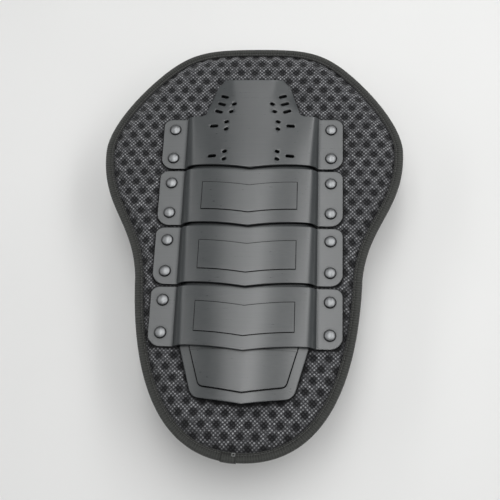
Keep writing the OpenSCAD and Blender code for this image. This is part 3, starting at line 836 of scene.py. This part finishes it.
# Tape's upper side inside its fold: depth, rise over its top, share of the painted highlight along the fold
# and share of the painted shade at the seam
TAPE_CROWN = [
    (3.9, 0.1, 0.7, 0.0), (5.0, 0.12, 0.3, 0.0), (6.0, 0.05, 0.05, 0.0), (6.8, -0.22, 0.0, 0.6),
    (STITCH_DEPTH, -0.34, 0.0, 0.9), (7.6, -0.2, 0.0, 0.5), (8.3, 0.02, 0.2, 0.0),
    (TAPE_W - 0.15, -0.12, 0.1, 0.5), (TAPE_W, -0.6, 0.0, 1.0),
]


def tape_profile():
    """Folded tape as [depth, height, share of painted highlight, share of painted shade], round its outer
    side and back inside.
    """
    middle, half = (TAPE_TOP + TAPE_LOW) / 2, (TAPE_TOP - TAPE_LOW) / 2
    arc = [math.radians(a) for a in range(-90, 91, 18)]
    outer = [(FOLD - FOLD * math.cos(a), middle + half * math.sin(a), 0.75, 0.0) for a in arc]
    crown = [(depth, TAPE_TOP + rise, fold, seam) for depth, rise, fold, seam in TAPE_CROWN]
    below = [(depth, TAPE_LOW + TAPE_TOP - z, fold, seam) for depth, z, fold, seam in reversed(crown)]
    inner = [(FOLD - (FOLD - TAPE_T) * math.cos(a), middle + (half - TAPE_T) * math.sin(a), 0.0, 1.0)
             for a in reversed(arc)]
    lips = [(TAPE_W - 0.1, z, 0.0, 1.0) for z in (TAPE_TOP - TAPE_T, TAPE_LOW + TAPE_T)]
    return below + outer + crown + lips[:1] + inner + lips[1:]


def pucker(run):
    """Small unevenness of the sewn tape along the rim."""
    return 0.16 * math.sin(run * 0.83) * math.sin(run * 0.117) + 0.1 * math.sin(run * 2.1 + 1)


def swept_tape(name, first, last, profile, lift=0.0):
    """A tape swept from one run along the rim to another, lifted if it laps over, and closed at its ends."""
    count = max(2, round((last - first) / RUN_STEP))
    runs = [mix(first, last, k / count) for k in range(count + 1)]
    ring = profile + profile[:1]

    def place(corner, station):
        depth, z, _, _ = corner
        point, inward, uneven = station
        raised = uneven * smooth((depth - FOLD) / PUCKER_FADE) if z > TAPE_UNDER else 0.0
        x, y = point + inward * (depth - (lift if depth < FOLD else 0.0))
        return x, y, z + raised + (lift if z > TAPE_OVER else -lift if z < TAPE_UNDER else 0.0)
    stations = []
    for run in runs:
        point, _, inward = rim_at(run)
        stations.append((point, inward, pucker(run)))
    tape = grid_sheet(name, ring, stations, place)
    ends = (runs[0], runs[-1]) if lift else ()
    store(tape.data, "along", [run * MM for run in runs for _ in ring])
    # The fold share carries the tape's painted highlight and the seam share its painted shade, which also
    # covers the lapped piece's two ends.
    store(tape.data, "fold", [fold for _ in runs for _, _, fold, _ in ring])
    store(tape.data, "seam", [LAP_END_SHADE if run in ends else seam for run in runs for _, _, _, seam in ring])
    tape.data.materials.append(TAPE_MAT)
    recalculate(tape)
    bpy.ops.object.mode_set(mode="EDIT")
    bpy.ops.mesh.select_all(action="SELECT")
    bpy.ops.mesh.fill_holes(sides=0)
    object_mode()
    recalculate(tape)
    return tape


def stitch_form():
    """One short thread stitch, lying along X on the tape."""
    bpy.ops.object.select_all(action="DESELECT")
    bpy.ops.mesh.primitive_cylinder_add(vertices=6, radius=STITCH_R * MM, depth=STITCH_L * MM,
                                        rotation=(0, math.pi / 2, 0))
    stitch = bpy.context.active_object
    bpy.ops.object.transform_apply(location=False, rotation=True, scale=False)
    edit_faces(stitch, lambda c, n: abs(n.x) > 0.9)
    bpy.ops.mesh.inset(thickness=STITCH_TAPER * MM, depth=STITCH_TIP * MM)
    object_mode()
    for v in stitch.data.vertices:
        v.co.z -= STITCH_SAG * MM * (v.co.x / (STITCH_HALF * MM)) ** 2
    return stitch


def make_binding():
    """The binding in four pieces, each with its stitches."""
    profile = tape_profile()
    high, middle, low = (run_at(y) for y in SEAMS)
    runs = [
        ("binding_neck", [(-high, high)]),
        ("binding_upper", [(high, middle), (-middle, -high)]),
        ("binding_middle", [(middle, low), (-low, -middle)]),
        ("binding_lower", [(low, RIM_L - low)]),
    ]
    stitch = stitch_form()
    parts = []
    for name, spans in runs:
        made = []
        for first, last in spans:
            made.append(swept_tape(name, first, last, profile))
            made.append(sewn_line(stitch, first, last))
        if name == "binding_lower":
            made.append(swept_tape(name, TAPE_JOINT, TAPE_JOINT + LAPPED_L, profile, LAP_LIFT))
            made.append(tacked_end(stitch))
        part = join(name, made[1:] + made[:1])
        shade(part, 50)
        parts.append(part)
    remove(stitch)
    return parts


def sewn_line(stitch, first, last):
    """Stitches in the tape's groove on its upper side, and on its lower side."""
    copies = []
    count = int((last - first) / STITCH_PITCH)
    for k in range(count):
        run = first + (k + 0.5) * (last - first) / count
        place, way, inward = rim_at(run)
        x, y = place + inward * STITCH_DEPTH
        turn = math.atan2(way[1], way[0])
        for z in (TAPE_TOP - STITCH_SINK, TAPE_LOW + STITCH_SINK):
            copies.append(copy_at(stitch, (x, y, z), turn))
    return finished("stitches", copies, THREAD_MAT)


def tacked_end(stitch):
    """A small box of pale stitches that holds the tape's lapped end down."""
    place, way, inward = rim_at(TAPE_JOINT + TACK_IN)
    turn = math.atan2(way[1], way[0])
    copies = []
    for depth, along, quarter in TACK_SIDES:
        x, y = place + inward * depth + way * along
        copies.append(copy_at(stitch, (x, y, TAPE_TOP + LAP_LIFT + TACK_LIFT), turn + quarter * math.pi / 2))
    return finished("tack", copies, TACK_MAT)


# Plates: a grid shaped over the crown and ears, thickened and rounded at its edges

def crown_shape(w, h):
    """Arch radius and middle, and the shoulder's radius, middle and first angle."""
    big = ARCH_R * (2 * w / CROWN_W) ** 2 * CROWN_H / h
    small = max(WALL + 0.5, min(SHOULDER_R, 0.8 * h))
    a, b, e = w - small / math.cos(DRAFT), math.tan(DRAFT), h - big
    lean = a * b + e
    root = lean * lean - (b * b + 1) * (a * a + e * e - (big - small) ** 2)
    cz = (lean + math.sqrt(max(root, 0))) / (b * b + 1)
    cx = a - b * cz
    return big, e, small, cx, cz, math.atan2(cz - e, cx)


FOLD_R = 1.3


def crown_place(w, h, column):
    """Place on a crown's section, from its middle out to its fold, by the kind of column and its value."""
    kind, value = column
    big, e, small, cx, cz, turn = crown_shape(w, h)
    end_x = big * math.cos(turn)
    if kind == "arch":
        return value, e + math.sqrt(big * big - value * value)
    if kind == "side":
        x = mix(PANEL_HALF, end_x, value)
        return x, e + math.sqrt(big * big - x * x)
    if kind == "shoulder":
        g = mix(turn, DRAFT, value)
        return cx + small * math.cos(g), cz + small * math.sin(g)
    g = mix(DRAFT, math.pi / 2, value)
    foot = w + FOLD_R * (1 / math.cos(DRAFT) - math.tan(DRAFT))
    return foot - FOLD_R * math.cos(g), FOLD_R - FOLD_R * math.sin(g)


ARCH_COLUMNS = [("arch", x) for x in (0, 4, 8, 13, 18, 23, 28, 33, 38, 43, 47.3, PANEL_HALF)]
SIDE_COLUMNS = [("side", u) for u in (0.2, 0.5, 0.8)]
SHOULDER_COLUMNS = [("shoulder", u) for u in (0, 0.14, 0.28, 0.42, 0.56, 0.7, 0.85, 1)]
FOLD_COLUMNS = [("fold", u) for u in (0, 0.25, 0.5, 0.75, 1)]
EAR_COLUMNS = [("ear", u) for u in (0.1, 0.25, 0.4, 0.52, 0.62, 0.72, 0.8, 0.87, 0.93, 0.97, 0.99, 1.0)]
HALF_COLUMNS = ARCH_COLUMNS + SIDE_COLUMNS + SHOULDER_COLUMNS + FOLD_COLUMNS + EAR_COLUMNS
PLATE_COLUMNS = [(-1, c) for c in reversed(HALF_COLUMNS[1:])] + [(1, c) for c in HALF_COLUMNS]


def point_at(x):
    """How far a plate's pointed lower edge reaches down."""
    return POINT * max(0.0, 1 - abs(x) / (0.45 * CROWN_W)) ** 1.4


def corner_in(x, r):
    """How far an ear's end draws back at its round outer corner."""
    over = x - (EAR_X - r)
    return r - math.sqrt(max(r * r - over * over, 0)) if over > 0 else 0.0


def ear_place(w, out, share, length):
    """Place on an ear by its shares outward and along: its ends are round at the outer corners."""
    x = mix(w + FOLD_R, EAR_X, out)
    return x, mix(corner_in(x, EAR_LOW_R), length - corner_in(x, EAR_TOP_R), clamp(share))


def crown_rise(st):
    """Height of the crown's middle at a station along the plate, lower on the tongue."""
    return CROWN_H - LAP_FALL * (st + EAR_L / 2) / PITCH - TONGUE_FALL * clamp((st - LAP_ST) / LAP_L)


def crown_half_w(st):
    """Half width of the crown at a station, narrower on the tongue."""
    step = TONGUE_SIDE * float(smooth((st - STEP_ST) / STEP_L))
    return CROWN_W / 2 - step - TONGUE_TAPER * clamp((st - LAP_ST) / LAP_L)


EAR_END = EAR_L / 2
LAP_ROWS = [-EAR_END, -29, -26.5, -23.5, -20, PANEL_LOW, -12, -7, -2, 3, 8, 12, PANEL_HIGH, 18, 22, 26, 28.6,
            29.3, EAR_END, 30.7, 31.3, LAP_ST, 37, LAP_ST + LAP_L]


def lapped_moulding():
    """One of the three alike plates, round its own middle."""
    def place(column, st):
        side, (kind, value) = column
        w, h = crown_half_w(st), crown_rise(st)
        if kind == "ear":
            x, y = ear_place(w, value, (st + EAR_END) / EAR_L, EAR_L)
            return side * x, y - EAR_END, EAR_Z
        x, z = crown_place(w, h, (kind, value))
        return side * x, st - point_at(x), EAR_Z + z
    plate = grid_sheet("plate", PLATE_COLUMNS, LAP_ROWS, place)
    middle = len(HALF_COLUMNS) - 1
    fold_first = len(HALF_COLUMNS) - len(EAR_COLUMNS) - len(FOLD_COLUMNS)
    ear_row = LAP_ROWS.index(EAR_END)
    drop_cells(plate, len(PLATE_COLUMNS), lambda i, j:
               j >= ear_row and not middle - fold_first <= i < middle + fold_first)
    finish_moulding(plate)

    def on_panel(c, n):
        x = c.x / MM
        return abs(x) < PANEL_HALF and PANEL_LOW < c.y / MM + point_at(x) < PANEL_HIGH and n.z > 0
    edit_faces(plate, on_panel)
    raise_panel(PANEL_H, PANEL_GROOVE, PANEL_GROOVE)
    shade(plate, 30)
    return plate


def raise_panel(height, groove_w, groove_d):
    """Raise the selected faces inside a fine groove."""
    bpy.ops.mesh.inset(thickness=GROOVE_WALL * MM, depth=-groove_d * MM)
    bpy.ops.mesh.inset(thickness=groove_w * MM, depth=0)
    bpy.ops.mesh.inset(thickness=GROOVE_WALL * MM, depth=(groove_d + height) * MM)
    object_mode()


def finish_moulding(plate, cutters=None):
    """Give the shaped sheet its wall, its openings and its rounded edges."""
    recalculate(plate)
    mesh = plate.data
    up = sum(p.normal.z * p.area for p in mesh.polygons)
    if up < 0:
        mesh.flip_normals()
    modify(plate, "SOLIDIFY", thickness=WALL * MM, offset=-1, use_even_offset=False)
    if cutters is not None:
        modify(plate, "BOOLEAN", object=cutters, operation="DIFFERENCE", solver="EXACT")
        remove(cutters)
    modify(plate, "BEVEL", width=EDGE_ROUND * MM, segments=2, limit_method="ANGLE",
           angle_limit=math.radians(55))
    mesh.materials.append(PLATE_MAT)
    shade(plate, 30)
    return plate


# Neck plate: the crown runs out into a neck with vents

NECK_SIDE = 54.0
NECK_BASE = 48.0
NECK_FILLET = 6.0
NECK_W = 38.5
NECK_TIP_W = 31.0
NECK_BEVEL_ST = 94.0
NECK_FLANK = math.radians(7)
CREASE_X = 23.5
CREASE_LEAN = 0.16
CREASE_ST = 62.0
CREASE_FADE = 28.0
NECK_ROWS = [0, 0.7, 3, 7, 12, 18, 24, 30, 36, 42, 48, 53, 56, NECK_EAR_L, 57.6, CROWN_END, 58.3, 59.2, 60.7,
             62.4, 64, 68, 73, 78, 83, 88, 91, NECK_BEVEL_ST, 97, 100, 102.3, NECK_REACH]
NECK_ARCH = [("arch", NECK_SIDE * u / 14) for u in range(15)]
NECK_SIDES = [("neck_side", u) for u in (0.3, 0.65)]
NECK_HALF = NECK_ARCH + NECK_SIDES + SHOULDER_COLUMNS + FOLD_COLUMNS + EAR_COLUMNS
NECK_COLUMNS = [(-1, c) for c in reversed(NECK_HALF[1:])] + [(1, c) for c in NECK_HALF]
SLOT_W = 3.9
SLOT_L = 9.2
HOLE_L = 5.3
SLOT_TILT = math.radians(22)
HIGH_VENTS = np.array([30.8, 154.7])
HIGH_STEP = np.array([2.6, -9.7])
HOLE_SHIFT = np.array([-13.2, -0.6])
HIGH_HOLE_TILT = math.radians(-24)
LOW_SLOT_X = 40.0
LOW_HOLE_X = 27.0
LOW_HOLE_Y = 4.5
LOW_HOLE_TILT = math.radians(-20)
LOW_VENT_Y = (NECK_LOW + 8, NECK_LOW + NECK_EAR_L - 12.6)
VENT_Z = 25.0
VENT_REACH = 40.0


def neck_rise(st):
    return mix(CROWN_H, NECK_TIP_H, (st / NECK_REACH) ** 1.1)


def neck_half_w(st):
    out = max(st - CROWN_END, 0.0)
    if out < NECK_FILLET:
        return NECK_BASE + NECK_FILLET - math.sqrt(out * (2 * NECK_FILLET - out))
    if st < NECK_BEVEL_ST:
        return mix(NECK_BASE, NECK_W, (out - NECK_FILLET) / (NECK_BEVEL_ST - CROWN_END - NECK_FILLET))
    return mix(NECK_W, NECK_TIP_W, (st - NECK_BEVEL_ST) / (NECK_REACH - NECK_BEVEL_ST))


def neck_facet(x, st):
    """Fall of the neck's flanks from the crease beside its flat middle, which fades towards the crown."""
    crease = CREASE_X - CREASE_LEAN * (NECK_REACH - st)
    return -math.tan(NECK_FLANK) * max(abs(x) - crease, 0.0) * float(smooth((st - CREASE_ST) / CREASE_FADE))


def vent_cutters():
    """Slots and holes on both sides, as upright prisms with round ends."""
    def prism(length):
        bpy.ops.object.select_all(action="DESELECT")
        bpy.ops.mesh.primitive_cylinder_add(vertices=24, radius=SLOT_W / 2 * MM, depth=VENT_REACH * MM)
        vent = bpy.context.active_object
        edit_faces(vent, lambda c, n: c.x > 1e-5 and abs(n.z) < 0.5)
        bpy.ops.transform.translate(value=((length - SLOT_W) * MM, 0, 0))
        object_mode()
        vent.data.transform(Matrix.Translation((-(length - SLOT_W) / 2 * MM, 0, 0)))
        return vent
    slot, hole = prism(SLOT_L), prism(HOLE_L)
    spots = []
    for k in range(3):
        spots.append((slot, HIGH_VENTS + HIGH_STEP * k, SLOT_TILT))
    for k in (1, 2):
        spots.append((hole, HIGH_VENTS + HIGH_STEP * k + HOLE_SHIFT, HIGH_HOLE_TILT))
    for y in LOW_VENT_Y:
        spots.append((slot, (LOW_SLOT_X, y), 0.0))
        for side in (-1, 1):
            spots.append((hole, (LOW_HOLE_X, y + LOW_HOLE_Y * side), LOW_HOLE_TILT))
    copies = []
    for form, (x, y), turn in spots:
        for flip in (False, True):
            copies.append(copy_at(form, (x, y, VENT_Z), turn, flip))
    remove(slot)
    remove(hole)
    return join("vents", copies)


def neck_moulding():
    """The neck plate: its crown's middle runs on past the ears as a narrow neck."""
    def place(column, st):
        side, (kind, value) = column
        h = neck_rise(st)
        pointed = 1 - st / NECK_REACH
        if kind == "ear":
            x, y = ear_place(CROWN_W / 2, value, st / NECK_EAR_L, NECK_EAR_L)
            return side * x, NECK_LOW + y, EAR_Z
        if kind == "neck_side":
            big, e, _, _, _, turn = crown_shape(CROWN_W / 2, h)
            x = mix(NECK_SIDE, big * math.cos(turn), value)
            z = e + math.sqrt(big * big - x * x)
        elif kind == "arch":
            x = value * neck_half_w(st) / NECK_SIDE
            z = crown_place(CROWN_W / 2, h, ("arch", x))[1] + neck_facet(x, st)
        else:
            x, z = crown_place(CROWN_W / 2, h, (kind, value))
        return side * x, NECK_LOW + st - pointed * point_at(x), EAR_Z + z
    plate = grid_sheet("plate", NECK_COLUMNS, NECK_ROWS, place)
    arch = len(NECK_ARCH) - 1
    middle = len(NECK_HALF) - 1
    ear_first = len(NECK_HALF) - len(EAR_COLUMNS)
    crown_row = NECK_ROWS.index(CROWN_END)
    ear_row = NECK_ROWS.index(NECK_EAR_L)
    drop_cells(plate, len(NECK_COLUMNS), lambda i, j:
               (j >= crown_row and not middle - arch <= i < middle + arch)
               or (j >= ear_row and (i >= middle + ear_first - 1 or i < middle - ear_first + 1)))
    return finish_moulding(plate, vent_cutters())


def drop_cells(plate, wide, unwanted):
    """Delete the grid's cells that a plate doesn't have, counted by column and row."""
    lowest = [min(p.vertices) for p in plate.data.polygons]
    edit_chosen(plate, "FACE", [unwanted(low % wide, low // wide) for low in lowest])
    bpy.ops.mesh.delete(type="FACE")
    object_mode()


# Tail plate: a shallow arch with a raised panel inside its rim

TAIL_LOW = BENDS[3] - TAIL_L
TAIL_HIGH = BENDS[3] + LAP_L
TAIL_MARGINS = [TAIL_RIM + 3.5, TAIL_RIM + 1.5, TAIL_RIM, TAIL_RIM - 1.2, 6, 3.5, 1.2, 0]
ACROSS_SHARES = [k / 12 for k in range(-12, 13)]


def tail_half_w(y):
    return TAIL_HALF - TAIL_TAPER * max(0.0, BENDS[3] - y)


def tail_edge(margin):
    """Right half of the tail's outline drawn in by a margin, from its lower point up to its tongue."""
    low = TAIL_LOW + margin
    half_low = tail_half_w(low) - margin
    r = max(WALL, TAIL_CORNER - margin / 2)
    side_lean, base_lean = math.atan(TAIL_TAPER), math.atan(POINT / half_low)
    run = r * math.tan((math.pi / 2 - side_lean - base_lean) / 2)
    side = np.array([math.sin(side_lean), math.cos(side_lean)])
    centre = np.array([half_low, low]) + run * side + r * np.array([-side[1], side[0]])
    turns = np.linspace(base_lean - math.pi / 2, -side_lean, 11)
    arc = [centre + r * np.array([math.cos(g), math.sin(g)]) for g in turns]
    tip, bend = np.array([0.0, low - POINT]), np.array([TAIL_HALF - margin, BENDS[3]])
    top = np.array([TAIL_HALF - margin, TAIL_HIGH])
    base = [mix(tip, arc[0], k / 9) for k in range(9)]
    flank = [mix(arc[-1], bend, k / 9) for k in range(1, 10)]
    return base + arc + flank + [mix(bend, top, k / 2) for k in (1, 2)]


def tail_height(x, y):
    """Height of the tail's arch; its stations follow the pointed lower edge."""
    station = y + clamp((BENDS[3] - y) / TAIL_L) * point_at(x)
    w = tail_half_w(station)
    return EAR_Z + TAIL_SEAT + math.sqrt(TAIL_ARCH_R ** 2 - x * x) - math.sqrt(TAIL_ARCH_R ** 2 - w * w)


def tail_moulding():
    """The tail plate: a border that follows its outline round a middle sheet."""
    edges = {margin: tail_edge(margin) for margin in TAIL_MARGINS}
    inner = edges[TAIL_MARGINS[0]]
    reach = range(len(inner))

    def on_border(k, margin):
        x, y = edges[margin][abs(k)]
        return math.copysign(x, k), y, tail_height(x, y)

    def on_middle(share, k):
        x, y = inner[k]
        return share * x, y, tail_height(abs(share) * x, y)
    border = grid_sheet("border", [-k for k in reversed(reach[1:])] + list(reach), TAIL_MARGINS, on_border)
    middle = grid_sheet("middle", ACROSS_SHARES, list(reach), on_middle)
    plate = join("plate", [border, middle])
    finish_moulding(plate)
    panel_edge = tail_edge(TAIL_RIM)
    edge_y, edge_x = [p[1] for p in panel_edge], [p[0] for p in panel_edge]

    def on_panel(c, n):
        return n.z > 0.5 and c.y / MM > edge_y[0] and abs(c.x) / MM < np.interp(c.y / MM, edge_y, edge_x)
    edit_faces(plate, on_panel)
    raise_panel(TAIL_PANEL_H, TAIL_GROOVE_W, TAIL_GROOVE_D)
    shade(plate, 30)
    return plate


# Rivets and washers: a profile spun round its axis

SPIN_STEPS = 40
STUD_GRIP = 0.5

# Rivet head as radius, height over the ear and share of the painted shade at the head's edge
HEAD_PROFILE = [
    (0, 3.0, 0), (0.8, 2.96, 0), (1.6, 2.86, 0), (2.4, 2.67, 0), (3.2, 2.41, 0), (4.0, 2.06, 0),
    (4.6, 1.73, 0), (5.0, 1.45, 0.15), (5.35, 1.1, 0.7), (5.58, 0.75, 1), (5.72, 0.4, 1), (6.0, 0.28, 1),
    (6.0, 0.12, 1), (5.7, 0.02, 1),
]

# Post's rolled end behind the pad, and washer, as radius and height
POST_R = 2.0
ROLLED_END = [(POST_R, 0.9), (3.2, 0.85), (3.2, 0.5), (2.7, 0.25), (1.9, 0.2), (1.2, 0.5), (0, 0.62)]
WASHER_PROFILE = [
    (2.1, 0.95), (2.3, 0.9), (4.6, 0.92), (5.6, 1.05), (5.95, 1.3), (6.0, 1.6), (5.9, 1.88), (5.7, 1.9),
    (2.3, 1.9), (2.1, 1.85), (2.1, 0.95),
]


def spun(name, profile):
    """A closed form turned round the Z axis from a profile of radius and height in millimetres."""
    def place(step, corner):
        turn = 2 * math.pi * step / SPIN_STEPS
        return corner[0] * math.cos(turn), corner[0] * math.sin(turn), corner[1]
    form = grid_sheet(name, range(SPIN_STEPS + 1), profile, place)
    recalculate(form)
    return form


def rivet_form():
    """A flat domed head with shade painted on its edge, on a post with a rolled end."""
    head = [(r, EAR_Z + z) for r, z, _ in HEAD_PROFILE]
    rivet = spun("rivet", head + [(POST_R, head[-1][1])] + ROLLED_END)
    # Each point takes the painted shade share of the nearest corner of the head's profile.
    shares = [(r, EAR_Z + z, share) for r, z, share in HEAD_PROFILE]
    points = places(rivet.data)
    far = np.hypot(points[:, 0], points[:, 1])
    rim = [min(shares, key=lambda p: (p[0] - a) ** 2 + (p[1] - z) ** 2)[2] if z > EAR_Z else 0.0
           for a, z in zip(far, points[:, 2])]
    store(rivet.data, "rim", rim)
    return rivet


def stud_form():
    """A post from inside the tail plate to a rolled end."""
    top = EAR_Z + TAIL_SEAT + STUD_GRIP
    return spun("stud", [(0, top), (POST_R, top)] + ROLLED_END)


def washer_form():
    """A dished ring."""
    return spun("washer", WASHER_PROFILE)


def fasteners(form, section, name, mat):
    """A section's set of one kind of fastener."""
    whole = finished(name, [copy_at(form, (x, y, 0)) for x, y in rivet_places(section)], mat)
    shade(whole)
    return whole


# Making every piece, and tying the plates and fasteners to their bodies

SHOWN_FOR = [("neck", "upper"), ("middle",), ("lower",), ("tail",)]


def cross_bend(part, k, layers):
    """Bake a soft piece's place into its mesh, and hide the CAD layers of the sections that it stands in for.
    """
    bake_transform(part)
    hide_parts(*[f"{s}_{layer}" for s in SHOWN_FOR[k] for layer in layers])


plates = {"neck": neck_moulding(), "tail": tail_moulding()}
lapped = lapped_moulding()
for section in ("upper", "middle", "lower"):
    plates[section] = copy_at(lapped, (0, PLATE_Y[section], 0))
remove(lapped)

for k, part in enumerate(make_pad(plate_shadow(plates.values()))):
    cross_bend(part, k, ("face", "foam"))

for k, part in enumerate(make_lining()):
    cross_bend(part, k, ("lining",))
    spread = np.ptp(places(part.data), axis=0) * MM

for k, part in enumerate(make_binding()):
    cross_bend(part, k, ("binding",))

rivet, stud, washer = rivet_form(), stud_form(), washer_form()
for section in SECTIONS:
    body = section + "_section"
    plate = plates[section]
    plate.name = plate.data.name = section + "_moulding"
    if section == "tail":
        studs = fasteners(stud, section, "tail_studs", PLATE_MAT)
        plate = join("tail_moulding", [studs, plate])
    else:
        heads = fasteners(rivet, section, section + "_rivet_set", RIVET_MAT)
        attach(heads, body)
        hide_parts(section + "_rivets")
    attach(plate, body)
    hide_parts(section + "_plate")
    rings = fasteners(washer, section, section + "_washer_set", STEEL_MAT)
    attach(rings, body)
    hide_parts(section + "_washers")
for form in (rivet, stud, washer):
    remove(form)


# Floor, light and camera

FLOOR_Z = -67.0
FLOOR_SIZE = 8.0
STAND_TOP = -0.6
STAND_W = 120.0
STAND_L = 54.0
STAND_Y = (BENDS[1] + BENDS[2]) / 2
STAND_ROUND = 3.0

# Light strips: name, place and size in metres, and brightness
STRIPS = [
    ("overhead_wide", (-0.14, 0.45, 1.50), (0.76, 3.0), 1.08),
    ("overhead_core", (0.03, 0.7, 1.47), (0.26, 2.6), 0.9),
    ("overhead_near", (0.02, -0.05, 1.44), (0.26, 1.9), 3.4),
    ("overhead_far", (-0.05, 2.15, 1.56), (0.60, 0.7), 2.1),
    ("overhead_left", (-0.40, 0.28, 1.59), (0.20, 1.5), 2.4),
    ("left", (-1.54, 0.55, 1.50), (0.42, 3.0), 2.2),
    ("left_outer", (-2.06, 0.55, 1.53), (0.60, 3.0), 0.85),
    ("left_far", (-2.76, 0.55, 1.56), (0.78, 3.0), 0.3),
    ("right", (1.07, 0.45, 1.50), (0.38, 2.9), 4.4),
    ("right_outer", (1.47, 0.45, 1.51), (0.40, 2.9), 2.4),
    ("right_far", (1.97, 0.45, 1.52), (0.58, 2.9), 0.9),
    ("right_fill", (0.56, 0.6, 1.53), (0.72, 2.6), 0.65),
]

# Camera: its lens in millimetres, its turns round Z, X and Y, and the pad's place in its view
LENS = 61.2
SENSOR = 36.0
VIEW_TURNS = (("Z", -2.351), ("X", -20.0), ("Y", -4.797))
VIEW_SHIFT = (-2.198, -7.241, -848.32)


def floor():
    """A pale floor, and a stand under the middle section that leaves room for the ends to bend down."""
    bpy.ops.object.select_all(action="DESELECT")
    bpy.ops.mesh.primitive_plane_add(size=FLOOR_SIZE, location=(0, 0, FLOOR_Z * MM))
    ground = bpy.context.active_object
    ground.name = "floor"
    w = Wiring("floor_paper")
    tone = w.noise(w.spot(), 3, 2)
    paper = w.finish(
        Base_Color=w.ramp(tone, (0.3, (0.73, 0.73, 0.72)), (0.7, (0.76, 0.76, 0.75))),
        Roughness=0.9)
    ground.data.materials.append(paper)
    bpy.ops.object.select_all(action="DESELECT")
    bpy.ops.mesh.primitive_cube_add(size=1)
    stand = bpy.context.active_object
    stand.name = "stand"
    tall = STAND_TOP - FLOOR_Z
    stand.data.transform(Matrix.Diagonal((STAND_W * MM, STAND_L * MM, tall * MM, 1)))
    stand.data.transform(Matrix.Translation(Vector((0, STAND_Y, FLOOR_Z + tall / 2)) * MM))
    modify(stand, "BEVEL", width=STAND_ROUND * MM, segments=3)
    shade(stand)
    stand.data.materials.append(paper)


def softbox(name, place, size, brightness):
    """A long level strip over the length of the object, given by its brightness."""
    light = bpy.data.lights.new(name, "AREA")
    light.shape = "RECTANGLE"
    light.size, light.size_y = size
    light.energy = brightness * math.pi * size[0] * size[1]
    lamp = bpy.data.objects.new(name, light)
    bpy.context.scene.collection.objects.link(lamp)
    lamp.location = place


def camera():
    """The camera at the angle that the object was fitted from."""
    lens = bpy.data.cameras.new("camera")
    lens.lens = LENS
    lens.sensor_width = SENSOR
    eye = bpy.data.objects.new("camera", lens)
    bpy.context.scene.collection.objects.link(eye)
    turn = Matrix.Identity(3)
    for axis, degrees in VIEW_TURNS:
        turn = turn @ Matrix.Rotation(math.radians(degrees), 3, axis)
    place = turn.transposed() @ (-Vector(VIEW_SHIFT) * MM) + Vector((0, STACK_Y, PAD_TOP)) * MM
    eye.matrix_world = Matrix.Translation(place) @ turn.transposed().to_4x4()
    bpy.context.scene.camera = eye


floor()
for strip in STRIPS:
    softbox(*strip)
camera()
world = bpy.data.worlds.new("studio")
world.use_nodes = True
backdrop = world.node_tree.nodes["Background"]
backdrop.inputs["Color"].default_value = (0.95, 0.97, 1.0, 1)
backdrop.inputs["Strength"].default_value = 0.1
bpy.context.scene.world = world
bpy.context.scene.view_settings.view_transform = "Standard"
